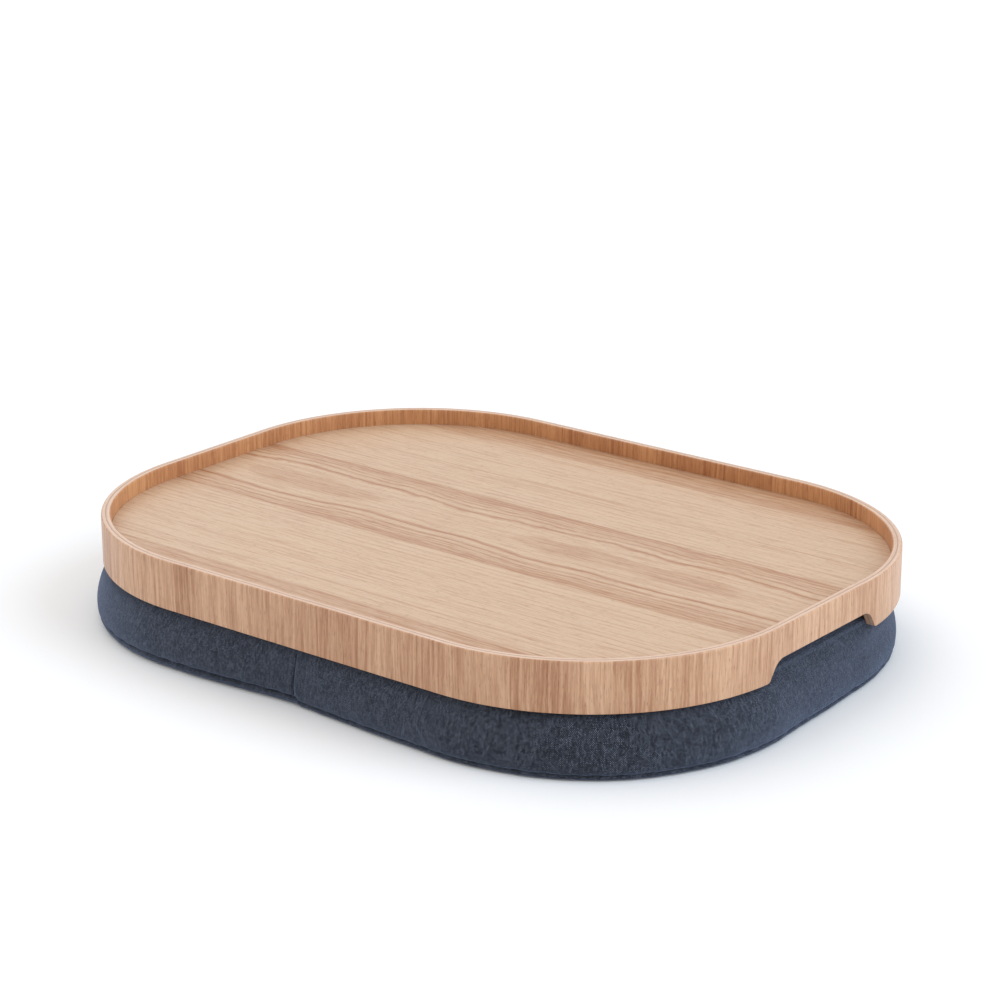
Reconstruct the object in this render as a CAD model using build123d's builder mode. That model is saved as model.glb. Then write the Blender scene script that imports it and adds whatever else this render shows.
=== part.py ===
from build123d import *
import os
from math import cos, hypot, radians, sin, sqrt, tan

os.makedirs("parts", exist_ok=True)

# Lap tray with cushion. The origin is on the surface that the cushion stands on, under the
# tray's middle. +X is the long way, the front long side faces -Y and the zip is at the back.

# Driving dimensions of the tray
tray_length = 430.0
tray_width = 325.0
corner_radius = 121.0
rim_height = 27.6
rim_lift = 32.4
recess_depth = 9.3

# Plies of the rim from the outside inwards, and layers of the panel from the top down
face_veneer = 0.6
rim_ply = 1.7
cross_ply = 0.7
core_thickness = 4.8
glue_gap = 0.05
arris_radius = 0.4

# Groove in the inner ply that holds the tongue round the panel's core
groove_bite = 1.1
groove_gap = 0.1

# Finger notch in the lower edge of each short end
notch_foot_width = 100.0
notch_head_width = 86.0
notch_height = 10.5
notch_head_radius = 10.0
notch_foot_radius = 2.5

# Hook-and-loop pads between the panel and the cushion
pad_length = 60.0
pad_width = 25.0
pad_thickness = 1.1
pad_corner_radius = 3.0
pad_pitch_x = 240.0
pad_pitch_y = 144.0

# Cushion form, as it stands out from the tray's outline or lies inside it
foot_inset = 12.0
foot_cut = 0.5
seam_height = 5.5
seam_overhang = 1.6
band_radius = 30.0
rim_gap = 0.4
edge_gap = 0.6
shoulder_rise = 4.2
shoulder_radius = 2.6
top_seam_rise = 3.6
crown_inset = 45.0
plate_inset = 60.0
plate_overlap = 2.0
front_seam_x = -4.0

# Degrees that the corner arcs turn past a straight side, which draws that side in
front_turn = 3.656
end_turn = 2.761

# Layers of the cushion
cover_thickness = 1.0
liner_thickness = 0.4
layer_gap = 0.15

# Zip in the rear band, which ends a little before the corners begin
zip_end_gap = 4.0
zip_window = 11.0
zip_height = 18.0
zip_margin = 3.0
tape_thickness = 0.6
tape_half_width = 7.5
tooth_pitch = 2.5
tooth_width = 1.5
tooth_length = 1.4
tooth_rise = 0.95
teeth_slit = 0.8
teeth_cord = 0.8
stop_length = 2.2
stop_rise = 1.5
pocket_gap = 0.5

# Zip slider and its pull
slider_length = 10.0
slider_corner_radius = 1.5
wing_thickness = 1.0
slider_gap = 0.25
flange_width = 1.3
post_thickness = 0.3
post_length = 2.6
bridge_length = 6.4
bridge_width = 1.6
bridge_opening = 2.0
bridge_bar = 1.0
pull_length = 22.0
pull_width = 6.0
pull_thickness = 1.0
pull_gap = 0.2
pull_arm = 1.2
pull_eye = 4.4
pull_corner_radius = 1.6
pull_hole_radius = 1.2
pull_hole_inset = 3.4

# Overrun of every cutting solid
overrun = 5.0

# Places worked out from the sizes above
half_length = tray_length / 2
half_width = tray_width / 2
corner_x = half_length - corner_radius
corner_y = half_width - corner_radius
rim_top = rim_lift + rim_height
panel_top = rim_top - recess_depth
core_top = panel_top - face_veneer
core_bottom = core_top - core_thickness
panel_bottom = core_bottom - face_veneer
outer_ply_inset = face_veneer
cross_ply_inset = outer_ply_inset + rim_ply
inner_ply_inset = cross_ply_inset + cross_ply
inner_veneer_inset = inner_ply_inset + rim_ply
rim_thickness = inner_veneer_inset + face_veneer
panel_inset = inner_veneer_inset - groove_bite
cushion_top = panel_bottom - pad_thickness - pad_thickness
top_seam_height = rim_lift + top_seam_rise
liner_inset = cover_thickness + layer_gap
hollow_inset = liner_inset + liner_thickness
filling_inset = hollow_inset + layer_gap
zip_half = corner_x - zip_end_gap


def outline(inset):
    """Face of the tray's rounded outline, drawn in by inset."""
    with BuildSketch() as face:
        RectangleRounded(
            tray_length - inset - inset, tray_width - inset - inset, corner_radius - inset
        )
    return face.sketch


def ring(inset, thickness, low, high, mode=Mode.ADD):
    """Upright wall along the outline, from height low to high."""
    wall = outline(inset) - outline(inset + thickness)
    extrude(Plane.XY.offset(low) * wall, amount=high - low, mode=mode)


def plate(inset, low, high, mode=Mode.ADD):
    """Flat plate inside the outline, from height low to high."""
    extrude(Plane.XY.offset(low) * outline(inset), amount=high - low, mode=mode)


# Cutting solid of the two finger notches, right through the rim at both short ends
with BuildPart() as notch_cutter:
    notch_start = (-half_length - overrun, 0, rim_lift)
    with BuildSketch(Plane(origin=notch_start, x_dir=(0, 1, 0), z_dir=(1, 0, 0))):
        foot_half = notch_foot_width / 2
        head_half = notch_head_width / 2
        with BuildLine():
            FilletPolyline(
                (-foot_half - overrun, 0),
                (-foot_half, 0),
                (-head_half, notch_height),
                (head_half, notch_height),
                (foot_half, 0),
                (foot_half + overrun, 0),
                radius=(notch_foot_radius, notch_head_radius, notch_head_radius, notch_foot_radius),
            )
            Polyline(
                (-foot_half - overrun, 0),
                (-foot_half - overrun, -overrun),
                (foot_half + overrun, -overrun),
                (foot_half + overrun, 0),
            )
        make_face()
    extrude(amount=tray_length + overrun + overrun)

# Rim, outside face veneer with its eased top arris
with BuildPart() as rim_outer_veneer:
    ring(0, face_veneer - glue_gap, rim_lift, rim_top)
    add(notch_cutter.part, mode=Mode.SUBTRACT)
    rim_face = rim_outer_veneer.faces().sort_by(Axis.Z)[-1]
    fillet(rim_face.outer_wire().edges(), arris_radius)
rim_outer_veneer.part.label = "rim_outer_veneer"

# Rim, outer ply
with BuildPart() as rim_outer_ply:
    ring(outer_ply_inset, rim_ply - glue_gap, rim_lift, rim_top)
    add(notch_cutter.part, mode=Mode.SUBTRACT)
rim_outer_ply.part.label = "rim_outer_ply"

# Rim, thin cross ply in the middle
with BuildPart() as rim_cross_ply:
    ring(cross_ply_inset, cross_ply - glue_gap, rim_lift, rim_top)
    add(notch_cutter.part, mode=Mode.SUBTRACT)
rim_cross_ply.part.label = "rim_cross_ply"

# Rim, inner ply with the groove for the panel's tongue
with BuildPart() as rim_inner_ply:
    ring(inner_ply_inset, rim_ply - glue_gap, rim_lift, rim_top)
    add(notch_cutter.part, mode=Mode.SUBTRACT)
    plate(panel_inset - groove_gap, core_bottom - groove_gap, core_top + groove_gap, Mode.SUBTRACT)
rim_inner_ply.part.label = "rim_inner_ply"

# Rim, inside face veneer above the groove, with its eased top arris
with BuildPart() as rim_inner_veneer_upper:
    ring(inner_veneer_inset, face_veneer, core_top + groove_gap, rim_top)
    rim_face = rim_inner_veneer_upper.faces().sort_by(Axis.Z)[-1]
    fillet(rim_face.inner_wires()[0].edges(), arris_radius)
rim_inner_veneer_upper.part.label = "rim_inner_veneer_upper"

# Rim, inside face veneer below the groove
with BuildPart() as rim_inner_veneer_lower:
    ring(inner_veneer_inset, face_veneer, rim_lift, core_bottom - groove_gap)
    add(notch_cutter.part, mode=Mode.SUBTRACT)
rim_inner_veneer_lower.part.label = "rim_inner_veneer_lower"

# Panel: its core's edge is the tongue, and both its veneers end at the rim's inside face
with BuildPart() as panel_top_veneer:
    plate(rim_thickness + groove_gap, core_top, panel_top)
panel_top_veneer.part.label = "panel_top_veneer"

with BuildPart() as panel_core:
    plate(panel_inset, core_bottom, core_top)
panel_core.part.label = "panel_core"

with BuildPart() as panel_bottom_veneer:
    plate(rim_thickness + groove_gap, panel_bottom, core_bottom)
panel_bottom_veneer.part.label = "panel_bottom_veneer"


def pads(low):
    """The four pads of hook or loop tape, with their undersides at height low."""
    with BuildSketch(Plane.XY.offset(low)) as pad_faces:
        with GridLocations(pad_pitch_x, pad_pitch_y, 2, 2):
            RectangleRounded(pad_length, pad_width, pad_corner_radius)
    extrude(pad_faces.sketch, amount=pad_thickness)


with BuildPart() as hook_pads:
    pads(cushion_top + pad_thickness)
hook_pads.part.label = "hook_pads"

with BuildPart() as loop_pads:
    pads(cushion_top)
loop_pads.part.label = "loop_pads"


def hollow(half_chord, turn):
    """Depth in the middle of a side's inward bow, which is tangent to both corner arcs."""
    return half_chord * tan(radians(turn / 2))


def on_corner(side, level, angle):
    """Point of a corner arc at an angle; side and level are -1 or 1 and pick the corner."""
    x = side * corner_x + corner_radius * cos(radians(angle))
    y = level * corner_y + corner_radius * sin(radians(angle))
    return (x, y)


# Path round the cushion: the tray's outline, with the front and the ends drawn in a little
quarter = 90.0
front_hollow = hollow(corner_x, front_turn)
end_hollow = hollow(corner_y, end_turn)
rear_sweep = quarter + end_turn
front_sweep = quarter + end_turn + front_turn
with BuildLine() as cushion_path:
    Line((0, half_width), (corner_x, half_width))
    CenterArc((corner_x, corner_y), corner_radius, quarter, -rear_sweep)
    ThreePointArc(
        on_corner(1, 1, -end_turn), (half_length - end_hollow, 0), on_corner(1, -1, end_turn)
    )
    CenterArc((corner_x, -corner_y), corner_radius, end_turn, -front_sweep)
    ThreePointArc(
        on_corner(1, -1, -quarter - front_turn),
        (0, front_hollow - half_width),
        on_corner(-1, -1, front_turn - quarter),
    )
    CenterArc((-corner_x, -corner_y), corner_radius, front_turn - quarter, -front_sweep)
    ThreePointArc(
        on_corner(-1, -1, quarter + quarter - end_turn),
        (end_hollow - half_length, 0),
        on_corner(-1, 1, quarter + quarter + end_turn),
    )
    CenterArc((-corner_x, corner_y), corner_radius, quarter + quarter + end_turn, -rear_sweep)
    Line((-corner_x, half_width), (0, half_width))
path_wire = cushion_path.wire()

# Section of the cushion across the rear side: x stands out from the outline, y is the height
section_plane = Plane(origin=(0, half_width, 0), x_dir=(0, 1, 0), z_dir=(1, 0, 0))
tuck_inset = rim_thickness + rim_gap
seam_point = (seam_overhang, seam_height)
tuck_point = (-tuck_inset, rim_lift - edge_gap)
shoulder_point = (-tuck_inset, rim_lift + shoulder_rise)
crown_point = (-crown_inset, cushion_top)
foot_point = (-foot_inset, -foot_cut)
core_inset = plate_inset + overrun + overrun

# The side band is one arc from the bottom seam to the tuck under the rim
band_chord = hypot(tuck_point[0] - seam_point[0], tuck_point[1] - seam_point[1])
band_across = (tuck_point[1] - seam_point[1]) / band_chord
band_along = (seam_point[0] - tuck_point[0]) / band_chord
band_reach = sqrt(band_radius * band_radius - band_chord * band_chord / 4)
band_centre_x = (seam_point[0] + tuck_point[0]) / 2 - band_across * band_reach
band_centre_z = (seam_point[1] + tuck_point[1]) / 2 - band_along * band_reach
band_apex = (band_centre_x + band_across * band_radius, band_centre_z + band_along * band_radius)

with BuildSketch() as cushion_section:
    with BuildLine():
        Line((-core_inset, -foot_cut), foot_point)
        TangentArc(foot_point, seam_point, tangent=(1, 0))
        ThreePointArc(seam_point, band_apex, tuck_point)
        Line(tuck_point, shoulder_point)
        TangentArc(crown_point, shoulder_point, tangent=(1, 0))
        Polyline(crown_point, (-core_inset, cushion_top), (-core_inset, -foot_cut))
    make_face()
    fillet(cushion_section.vertices().sort_by_distance(shoulder_point)[0], shoulder_radius)


def section(inset):
    """The cushion's section drawn in by inset, from the plate's edge outwards."""
    with BuildSketch() as drawn_in:
        add(cushion_section.sketch)
        if inset > 0:
            offset(amount=-inset, kind=Kind.INTERSECTION)
        section_reach = plate_inset + overrun
        with Locations((-plate_inset, -overrun)):
            Rectangle(section_reach, rim_top, align=(Align.MIN, Align.MIN), mode=Mode.INTERSECT)
    return drawn_in.sketch


def swept(face):
    """Solid of a section face carried round the cushion's path."""
    return sweep(section_plane * face, path=path_wire, mode=Mode.PRIVATE)


def slab(low, high):
    """Solid of the cushion's flat middle, between two heights."""
    inset = plate_inset - plate_overlap
    return extrude(Plane.XY.offset(low) * outline(inset), amount=high - low, mode=Mode.PRIVATE)


def cushion_body(inset):
    """Whole cushion drawn in by inset."""
    return swept(section(inset)) + slab(inset - foot_cut, cushion_top - inset)


cover_ring = swept(section(0) - section(cover_thickness))
top_cut = Plane.XY.offset(top_seam_height)
bottom_cut = Plane.XY.offset(seam_height)

# Cover, top panel with the crown's shoulder
with BuildPart() as cover_top_panel:
    add(cover_ring)
    split(bisect_by=top_cut, keep=Keep.TOP)
    add(slab(cushion_top - cover_thickness, cushion_top))
cover_top_panel.part.label = "cover_top_panel"

# Cover, bottom panel, cut flat where the cushion stands
with BuildPart() as cover_bottom_panel:
    add(cover_ring)
    split(bisect_by=bottom_cut, keep=Keep.BOTTOM)
    add(slab(-foot_cut, cover_thickness - foot_cut))
    split(bisect_by=Plane.XY, keep=Keep.TOP)
cover_bottom_panel.part.label = "cover_bottom_panel"

# Plane of the zip, flat on the rear band: x runs towards -X, y up the band, z out of it
zip_rise = zip_height - band_centre_z
zip_stand = sqrt(band_radius * band_radius - zip_rise * zip_rise)
zip_origin = (0, half_width + band_centre_x + zip_stand, zip_height)
zip_plane = Plane(origin=zip_origin, x_dir=(-1, 0, 0), z_dir=(0, zip_stand, zip_rise))
inner_radius = band_radius - cover_thickness
tape_face = sqrt(inner_radius * inner_radius - tape_half_width * tape_half_width) - band_radius - layer_gap
tape_back = tape_face - tape_thickness
tooth_top = tape_face + tooth_rise
wing_low = tooth_top + slider_gap
wing_high = wing_low + wing_thickness
lower_wing_high = tape_back - slider_gap
lower_wing_low = lower_wing_high - wing_thickness
pocket_low = lower_wing_low - pocket_gap
slit_half = teeth_slit / 2
cord_low = slit_half + tooth_length
row_edge = cord_low + teeth_cord
flange_low = row_edge + slider_gap
wing_half = flange_low + flange_width
stop_end = zip_half - zip_margin
row_half = stop_end - stop_length


def block(low_corner, high_corner, mode=Mode.ADD):
    """Block in the zip's plane between two opposite corners."""
    with BuildSketch(zip_plane.offset(low_corner[2])) as footprint:
        with Locations((low_corner[0], low_corner[1])):
            Rectangle(
                high_corner[0] - low_corner[0],
                high_corner[1] - low_corner[1],
                align=(Align.MIN, Align.MIN),
            )
    extrude(footprint.sketch, amount=high_corner[2] - low_corner[2], mode=mode)


# Side band all round, between the two seams
with BuildPart() as whole_band:
    add(cover_ring)
    split(bisect_by=top_cut, keep=Keep.BOTTOM)
    split(bisect_by=bottom_cut, keep=Keep.TOP)

# The stretch of the band that the zip's two strips take up
with BuildPart() as zip_stretch:
    block((-zip_half, -band_radius, -band_radius), (zip_half, band_radius, overrun))

with BuildPart() as cover_left_band:
    add(whole_band.part)
    add(zip_stretch.part, mode=Mode.SUBTRACT)
    split(bisect_by=Plane.YZ.offset(front_seam_x), keep=Keep.BOTTOM)
cover_left_band.part.label = "cover_left_band"

with BuildPart() as cover_right_band:
    add(whole_band.part)
    add(zip_stretch.part, mode=Mode.SUBTRACT)
    split(bisect_by=Plane.YZ.offset(front_seam_x), keep=Keep.TOP)
cover_right_band.part.label = "cover_right_band"

window_half = zip_window / 2
with BuildPart() as zip_band_upper:
    add(whole_band.part)
    add(zip_stretch.part, mode=Mode.INTERSECT)
    block((-zip_half, -band_radius, -band_radius), (zip_half, window_half, overrun), Mode.SUBTRACT)
zip_band_upper.part.label = "zip_band_upper"

with BuildPart() as zip_band_lower:
    add(whole_band.part)
    add(zip_stretch.part, mode=Mode.INTERSECT)
    block((-zip_half, -window_half, -band_radius), (zip_half, band_radius, overrun), Mode.SUBTRACT)
zip_band_lower.part.label = "zip_band_lower"

# Zip tapes, tucked behind the two strips
with BuildPart() as zip_tape_upper:
    block((-zip_half, slit_half, tape_back), (zip_half, tape_half_width, tape_face))
zip_tape_upper.part.label = "zip_tape_upper"

with BuildPart() as zip_tape_lower:
    block((-zip_half, -tape_half_width, tape_back), (zip_half, -slit_half, tape_face))
zip_tape_lower.part.label = "zip_tape_lower"


def teeth(side, first):
    """Row of teeth on its cord; side is 1 above the slit and -1 below, first shifts the teeth."""
    count = int((row_half + row_half - first) / tooth_pitch)
    teeth_middle = first - row_half + (count * tooth_pitch - tooth_pitch + tooth_width) / 2
    with BuildSketch(zip_plane.offset(tape_face)) as row:
        with Locations((0, side * (cord_low + row_edge) / 2)):
            Rectangle(row_half + row_half, teeth_cord)
        with Locations((teeth_middle, side * (slit_half + tooth_length / 2))):
            with GridLocations(tooth_pitch, tooth_pitch, count, 1):
                Rectangle(tooth_width, tooth_length)
    extrude(row.sketch, amount=tooth_rise)


with BuildPart() as zip_teeth_upper:
    teeth(1, 0)
zip_teeth_upper.part.label = "zip_teeth_upper"

with BuildPart() as zip_teeth_lower:
    teeth(-1, tooth_pitch / 2)
zip_teeth_lower.part.label = "zip_teeth_lower"

# End stops: one on each tape at the closed end, and one across both at the open end
with BuildPart() as zip_stops:
    stop_top = tape_face + stop_rise
    block((-stop_end, slit_half, tape_face), (-row_half, row_edge, stop_top))
    block((-stop_end, -row_edge, tape_face), (-row_half, -slit_half, stop_top))
    block((row_half, -row_edge, tape_face), (stop_end, row_edge, stop_top))
zip_stops.part.label = "zip_stops"

# Slider, closed against the two stops, with its wings, flanges, post and bridge
slider_start = slider_gap - row_half
slider_end = slider_start + slider_length
slider_middle = slider_start + slider_length / 2
bridge_top = wing_high + bridge_opening + bridge_bar
with BuildPart() as zip_slider:
    block((slider_start, -wing_half, wing_low), (slider_end, wing_half, wing_high))
    block((slider_start, -wing_half, lower_wing_low), (slider_end, wing_half, lower_wing_high))
    wing_corners = zip_slider.edges().filter_by(Axis(zip_plane.origin, zip_plane.z_dir))
    fillet(wing_corners, slider_corner_radius)
    flange_end = slider_end - slider_corner_radius
    flange_start = slider_start + slider_corner_radius
    for side in ((flange_low, wing_half), (-wing_half, -flange_low)):
        block((flange_start, side[0], tape_face + slider_gap), (flange_end, side[1], wing_low))
    post_half = post_thickness / 2
    block((slider_start, -post_half, lower_wing_high), (slider_start + post_length, post_half, wing_low))
    bridge_half = bridge_width / 2
    bridge_start = slider_middle - bridge_length / 2
    bridge_end = bridge_start + bridge_length
    block((bridge_start, -bridge_half, wing_high), (bridge_end, bridge_half, bridge_top))
    block(
        (bridge_start + bridge_bar, -bridge_half, wing_high),
        (bridge_end - bridge_bar, bridge_half, wing_high + bridge_opening),
        Mode.SUBTRACT,
    )
zip_slider.part.label = "zip_slider"

# Pull: a round bar through the bridge, two arms beside it, and the tab
pull_axis = wing_high + pull_gap + pull_thickness / 2
eye_half = bridge_half + slider_gap
arm_half = eye_half + pull_arm
pull_plane = zip_plane.offset(pull_axis - pull_thickness / 2)
with BuildPart() as zip_pull:
    with BuildSketch(pull_plane) as pull_face:
        with Locations((slider_middle, -arm_half)):
            Rectangle(pull_eye + pull_arm, arm_half + arm_half, align=(Align.MIN, Align.MIN))
        with Locations((slider_middle + pull_eye, -pull_width / 2)):
            Rectangle(pull_length - pull_eye, pull_width, align=(Align.MIN, Align.MIN))
        fillet(pull_face.vertices().sort_by(Axis.X)[-2:], pull_corner_radius)
        with Locations((slider_middle, -eye_half)):
            Rectangle(pull_eye, eye_half + eye_half, align=(Align.MIN, Align.MIN), mode=Mode.SUBTRACT)
        with Locations((slider_middle + pull_length - pull_hole_inset, 0)):
            Circle(pull_hole_radius, mode=Mode.SUBTRACT)
    extrude(amount=pull_thickness)
    bar_start = zip_plane.from_local_coords((slider_middle, -arm_half, pull_axis))
    with BuildSketch(Plane(origin=bar_start, x_dir=(1, 0, 0), z_dir=zip_plane.y_dir)):
        Circle(pull_thickness / 2)
    extrude(amount=arm_half + arm_half)
zip_pull.part.label = "zip_pull"


def pocket(margin):
    """Pocket behind the zip, where the slider's lower wing runs, grown by a margin."""
    reach = tape_half_width + pocket_gap + margin
    end = zip_half + margin
    block((-end, -reach, pocket_low - margin), (end, reach, overrun), Mode.SUBTRACT)


# Filling of loose beads, as one solid
with BuildPart() as bead_filling:
    add(cushion_body(filling_inset))
    pocket(liner_thickness + layer_gap)
bead_filling.part.label = "bead_filling"

# Hollow that the liner encloses
with BuildPart() as liner_hollow:
    add(cushion_body(hollow_inset))
    pocket(liner_thickness)

# Thin inner bag round the beads
with BuildPart() as cushion_liner:
    add(cushion_body(liner_inset))
    pocket(0)
    add(liner_hollow.part, mode=Mode.SUBTRACT)
cushion_liner.part.label = "cushion_liner"

pieces = (
    rim_outer_veneer,
    rim_outer_ply,
    rim_cross_ply,
    rim_inner_ply,
    rim_inner_veneer_upper,
    rim_inner_veneer_lower,
    panel_top_veneer,
    panel_core,
    panel_bottom_veneer,
    hook_pads,
    loop_pads,
    cover_top_panel,
    cover_left_band,
    cover_right_band,
    cover_bottom_panel,
    zip_band_lower,
    zip_band_upper,
    zip_tape_lower,
    zip_tape_upper,
    zip_teeth_lower,
    zip_teeth_upper,
    zip_stops,
    zip_slider,
    zip_pull,
    cushion_liner,
    bead_filling,
)
for piece in pieces:
    export_step(piece.part, f"parts/{piece.part.label}.step")
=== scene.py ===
"""Looks of a lap tray with a bead cushion, in metres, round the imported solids.

The bent rim is rebuilt ply by ply as profiles carried round the tray's outline. The cushion's cover
is a section carried round the same outline, swollen by a cloth simulation and cut along its seams.
The pads' loops and the zip's tape are made as cloth, and the other solids keep their meshes.
"""
import logging
import math
from collections.abc import Callable, Iterable
from dataclasses import dataclass
from enum import Enum

import bpy
import numpy as np
from mathutils import Matrix, Vector


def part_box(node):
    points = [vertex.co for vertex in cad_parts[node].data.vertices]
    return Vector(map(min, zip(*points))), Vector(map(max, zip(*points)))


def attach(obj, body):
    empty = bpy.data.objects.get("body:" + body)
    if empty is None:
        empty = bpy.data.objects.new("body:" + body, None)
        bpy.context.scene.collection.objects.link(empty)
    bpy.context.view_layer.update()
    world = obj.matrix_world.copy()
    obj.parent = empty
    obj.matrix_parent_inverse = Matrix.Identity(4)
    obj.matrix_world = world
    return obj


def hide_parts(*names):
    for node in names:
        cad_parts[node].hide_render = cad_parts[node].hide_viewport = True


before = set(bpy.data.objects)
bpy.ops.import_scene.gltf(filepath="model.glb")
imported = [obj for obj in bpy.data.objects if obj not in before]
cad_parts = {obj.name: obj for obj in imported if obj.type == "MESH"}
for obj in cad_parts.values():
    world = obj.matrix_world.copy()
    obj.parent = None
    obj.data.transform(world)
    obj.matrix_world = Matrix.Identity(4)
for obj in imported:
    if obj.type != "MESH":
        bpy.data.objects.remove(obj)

Array = np.ndarray
Material = bpy.types.Material
Piece = bpy.types.Object
Socket = bpy.types.NodeSocket
Tree = bpy.types.NodeTree
Number = float | Socket
Rgb = tuple[int, int, int]

LOG = logging.getLogger("lap_tray")
MM = 0.001
GRAIN_MAP = "grain"
WHITE = (1, 1, 1, 1)


class Body(Enum):
    """Bodies of the frame that new pieces ride on."""

    CUSHION = "cushion"
    TRAY = "tray"


class Run(Enum):
    """Which way the grain of a strip of wood runs on its own map."""

    UPRIGHT = "upright"
    ALONG = "along"


# Shapes as arrays


def hermite(at: Array, knots: Array, values: Array) -> Array:
    """Smooth curve through values at knots.

    Each knot's slope is the slope between its two neighbours, and each stretch is the cubic with
    those slopes at its ends.

    Args:
        at: Places to read.
        knots: Rising places of the values.
        values: Values at the knots.

    Returns:
        The curve at each place.
    """
    slopes = np.gradient(values, knots)
    left = np.clip(np.searchsorted(knots, at, side="right") - 1, 0, len(knots) - 2)
    width = knots[left + 1] - knots[left]
    x = (at - knots[left]) / width
    rise = x * x * (3 - 2 * x)
    first = x * (1 - x) * (1 - x) * width * slopes[left]
    last = x * x * (x - 1) * width * slopes[left + 1]
    return values[left] + rise * (values[left + 1] - values[left]) + first + last


def smooth_step(at: Array, low: float, high: float) -> Array:
    """Rises from 0 at low to 1 at high along the cubic 3x^2 - 2x^3."""
    x = np.clip((at - low) / (high - low), 0, 1)
    return x * x * (3 - 2 * x)


def between(at: Array, rise: tuple[float, float], fall: tuple[float, float]) -> Array:
    """Rises smoothly from 0 to 1 over one stretch and falls back to 0 over another."""
    return smooth_step(at, *rise) * (1 - smooth_step(at, *fall))


def bell(at: Array, width: float) -> Array:
    """Bell curve, 1 in the middle and e^-0.5 at one width."""
    return np.exp(-0.5 * (at / width) ** 2)


def space_out(at: Array, density: Array, marks: Iterable[float]) -> Array:
    """Places spaced by a density: its running total, by the trapezoid rule, read at even steps.

    Args:
        at: Rising places where the density is known.
        density: Number of places wanted per unit there.
        marks: Places that must be among the result. Each takes its nearest neighbour's seat.

    Returns:
        Rising places from the first to the last.
    """
    total = np.concatenate([[0], np.cumsum((density[1:] + density[:-1]) / 2 * np.diff(at))])
    count = int(total[-1])
    even = np.interp(np.arange(count + 1) * total[-1] / count, total, at)
    for mark in marks:
        even[np.argmin(abs(even - mark))] = mark
    return even


def resample(table: Array, old: Array, new: Array, axis: int) -> Array:
    """Reads a table at new places along one axis, by straight lines between its entries.

    Args:
        table: The values.
        old: Rising places of its entries along the axis.
        new: Places to read.
        axis: The axis.

    Returns:
        The table at the new places, with 0 outside the old ones.
    """
    left = np.clip(np.searchsorted(old, new, side="right") - 1, 0, len(old) - 2)
    part = (new - old[left]) / (old[left + 1] - old[left])
    known = (new >= old[0]) & (new <= old[-1])
    shape = [-1 if k == axis else 1 for k in range(table.ndim)]
    low, high = np.take(table, left, axis), np.take(table, left + 1, axis)
    return (low + (high - low) * part.reshape(shape)) * known.reshape(shape)


@dataclass(frozen=True)
class Outline:
    """Rounded rectangle, walked anticlockwise from the middle of its rear side."""

    half_length: float
    half_width: float
    radius: float

    def knots(self) -> Array:
        """Works out the arclengths where straight sides and corner arcs meet.

        Returns:
            Ten arclengths, from 0 to the perimeter.
        """
        across = self.half_length - self.radius
        along = 2 * (self.half_width - self.radius)
        turn = math.pi / 2 * self.radius
        return np.cumsum([0, across, turn, along, turn, 2 * across, turn, along, turn, across])

    def perimeter(self) -> float:
        """Length of the whole outline."""
        return float(self.knots()[-1])

    def core(self, arc: Array) -> Array:
        """Finds the corner centres, and the lines between them, which the outline runs round.

        Args:
            arc: Arclengths.

        Returns:
            A flat point for each: x and y run straight between the centres.
        """
        x, y = self.half_length - self.radius, self.half_width - self.radius
        xs = [0, -x, -x, -x, -x, x, x, x, x, 0]
        ys = [y, y, y, -y, -y, -y, -y, y, y, y]
        knots = self.knots()
        return np.stack([np.interp(arc, knots, xs), np.interp(arc, knots, ys)], -1)

    def normal(self, arc: Array) -> Array:
        """Finds the outward direction: its angle stands still on sides and turns evenly on corners.

        Args:
            arc: Arclengths.

        Returns:
            The cosine and sine of the angle for each.
        """
        quarters = np.array([1, 1, 2, 2, 3, 3, 4, 4, 5, 5])
        angle = np.interp(arc, self.knots(), quarters * math.pi / 2)
        return np.stack([np.cos(angle), np.sin(angle)], -1)

    def edge(self, arc: Array) -> Array:
        """Points of the outline: the core plus the radius times the normal."""
        return self.core(arc) + self.radius * self.normal(arc)

    def stations(
        self, step: float, fine: float, near: Callable[[Array, Array], Array], marks: tuple = ()
    ) -> Array:
        """Spaces arclengths by step, and by fine where near says so.

        Args:
            step: Usual spacing.
            fine: Spacing where near is 1.
            near: Function of outline points that gives 0 to 1.
            marks: Arclengths that must be among the stations.

        Returns:
            Rising arclengths from 0 up to the perimeter, which isn't repeated.
        """
        trials = 40001
        arc = np.linspace(0, self.perimeter(), trials)
        share = near(*self.edge(arc).T)
        return space_out(arc, (1 - share) / step + share / fine, marks)[:-1]

    def carry(self, arc: Array, out: Array, height: Array, scale: Array) -> Array:
        """Carries a section round the outline.

        A point is the core point plus (radius + out) times the normal, drawn towards the middle by
        scale, at its height. The last three arrays have stations as rows and the section's points
        as columns.

        Args:
            arc: Stations.
            out: How far out from the outline.
            height: Heights.
            scale: 1, or less to draw a point towards the middle.

        Returns:
            Points with three coordinates.
        """
        core = self.core(arc)[:, None, :]
        normal = self.normal(arc)[:, None, :]
        flat = (core + (self.radius + out)[..., None] * normal) * scale[..., None]
        return np.concatenate([flat, height[..., None]], -1)


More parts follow.
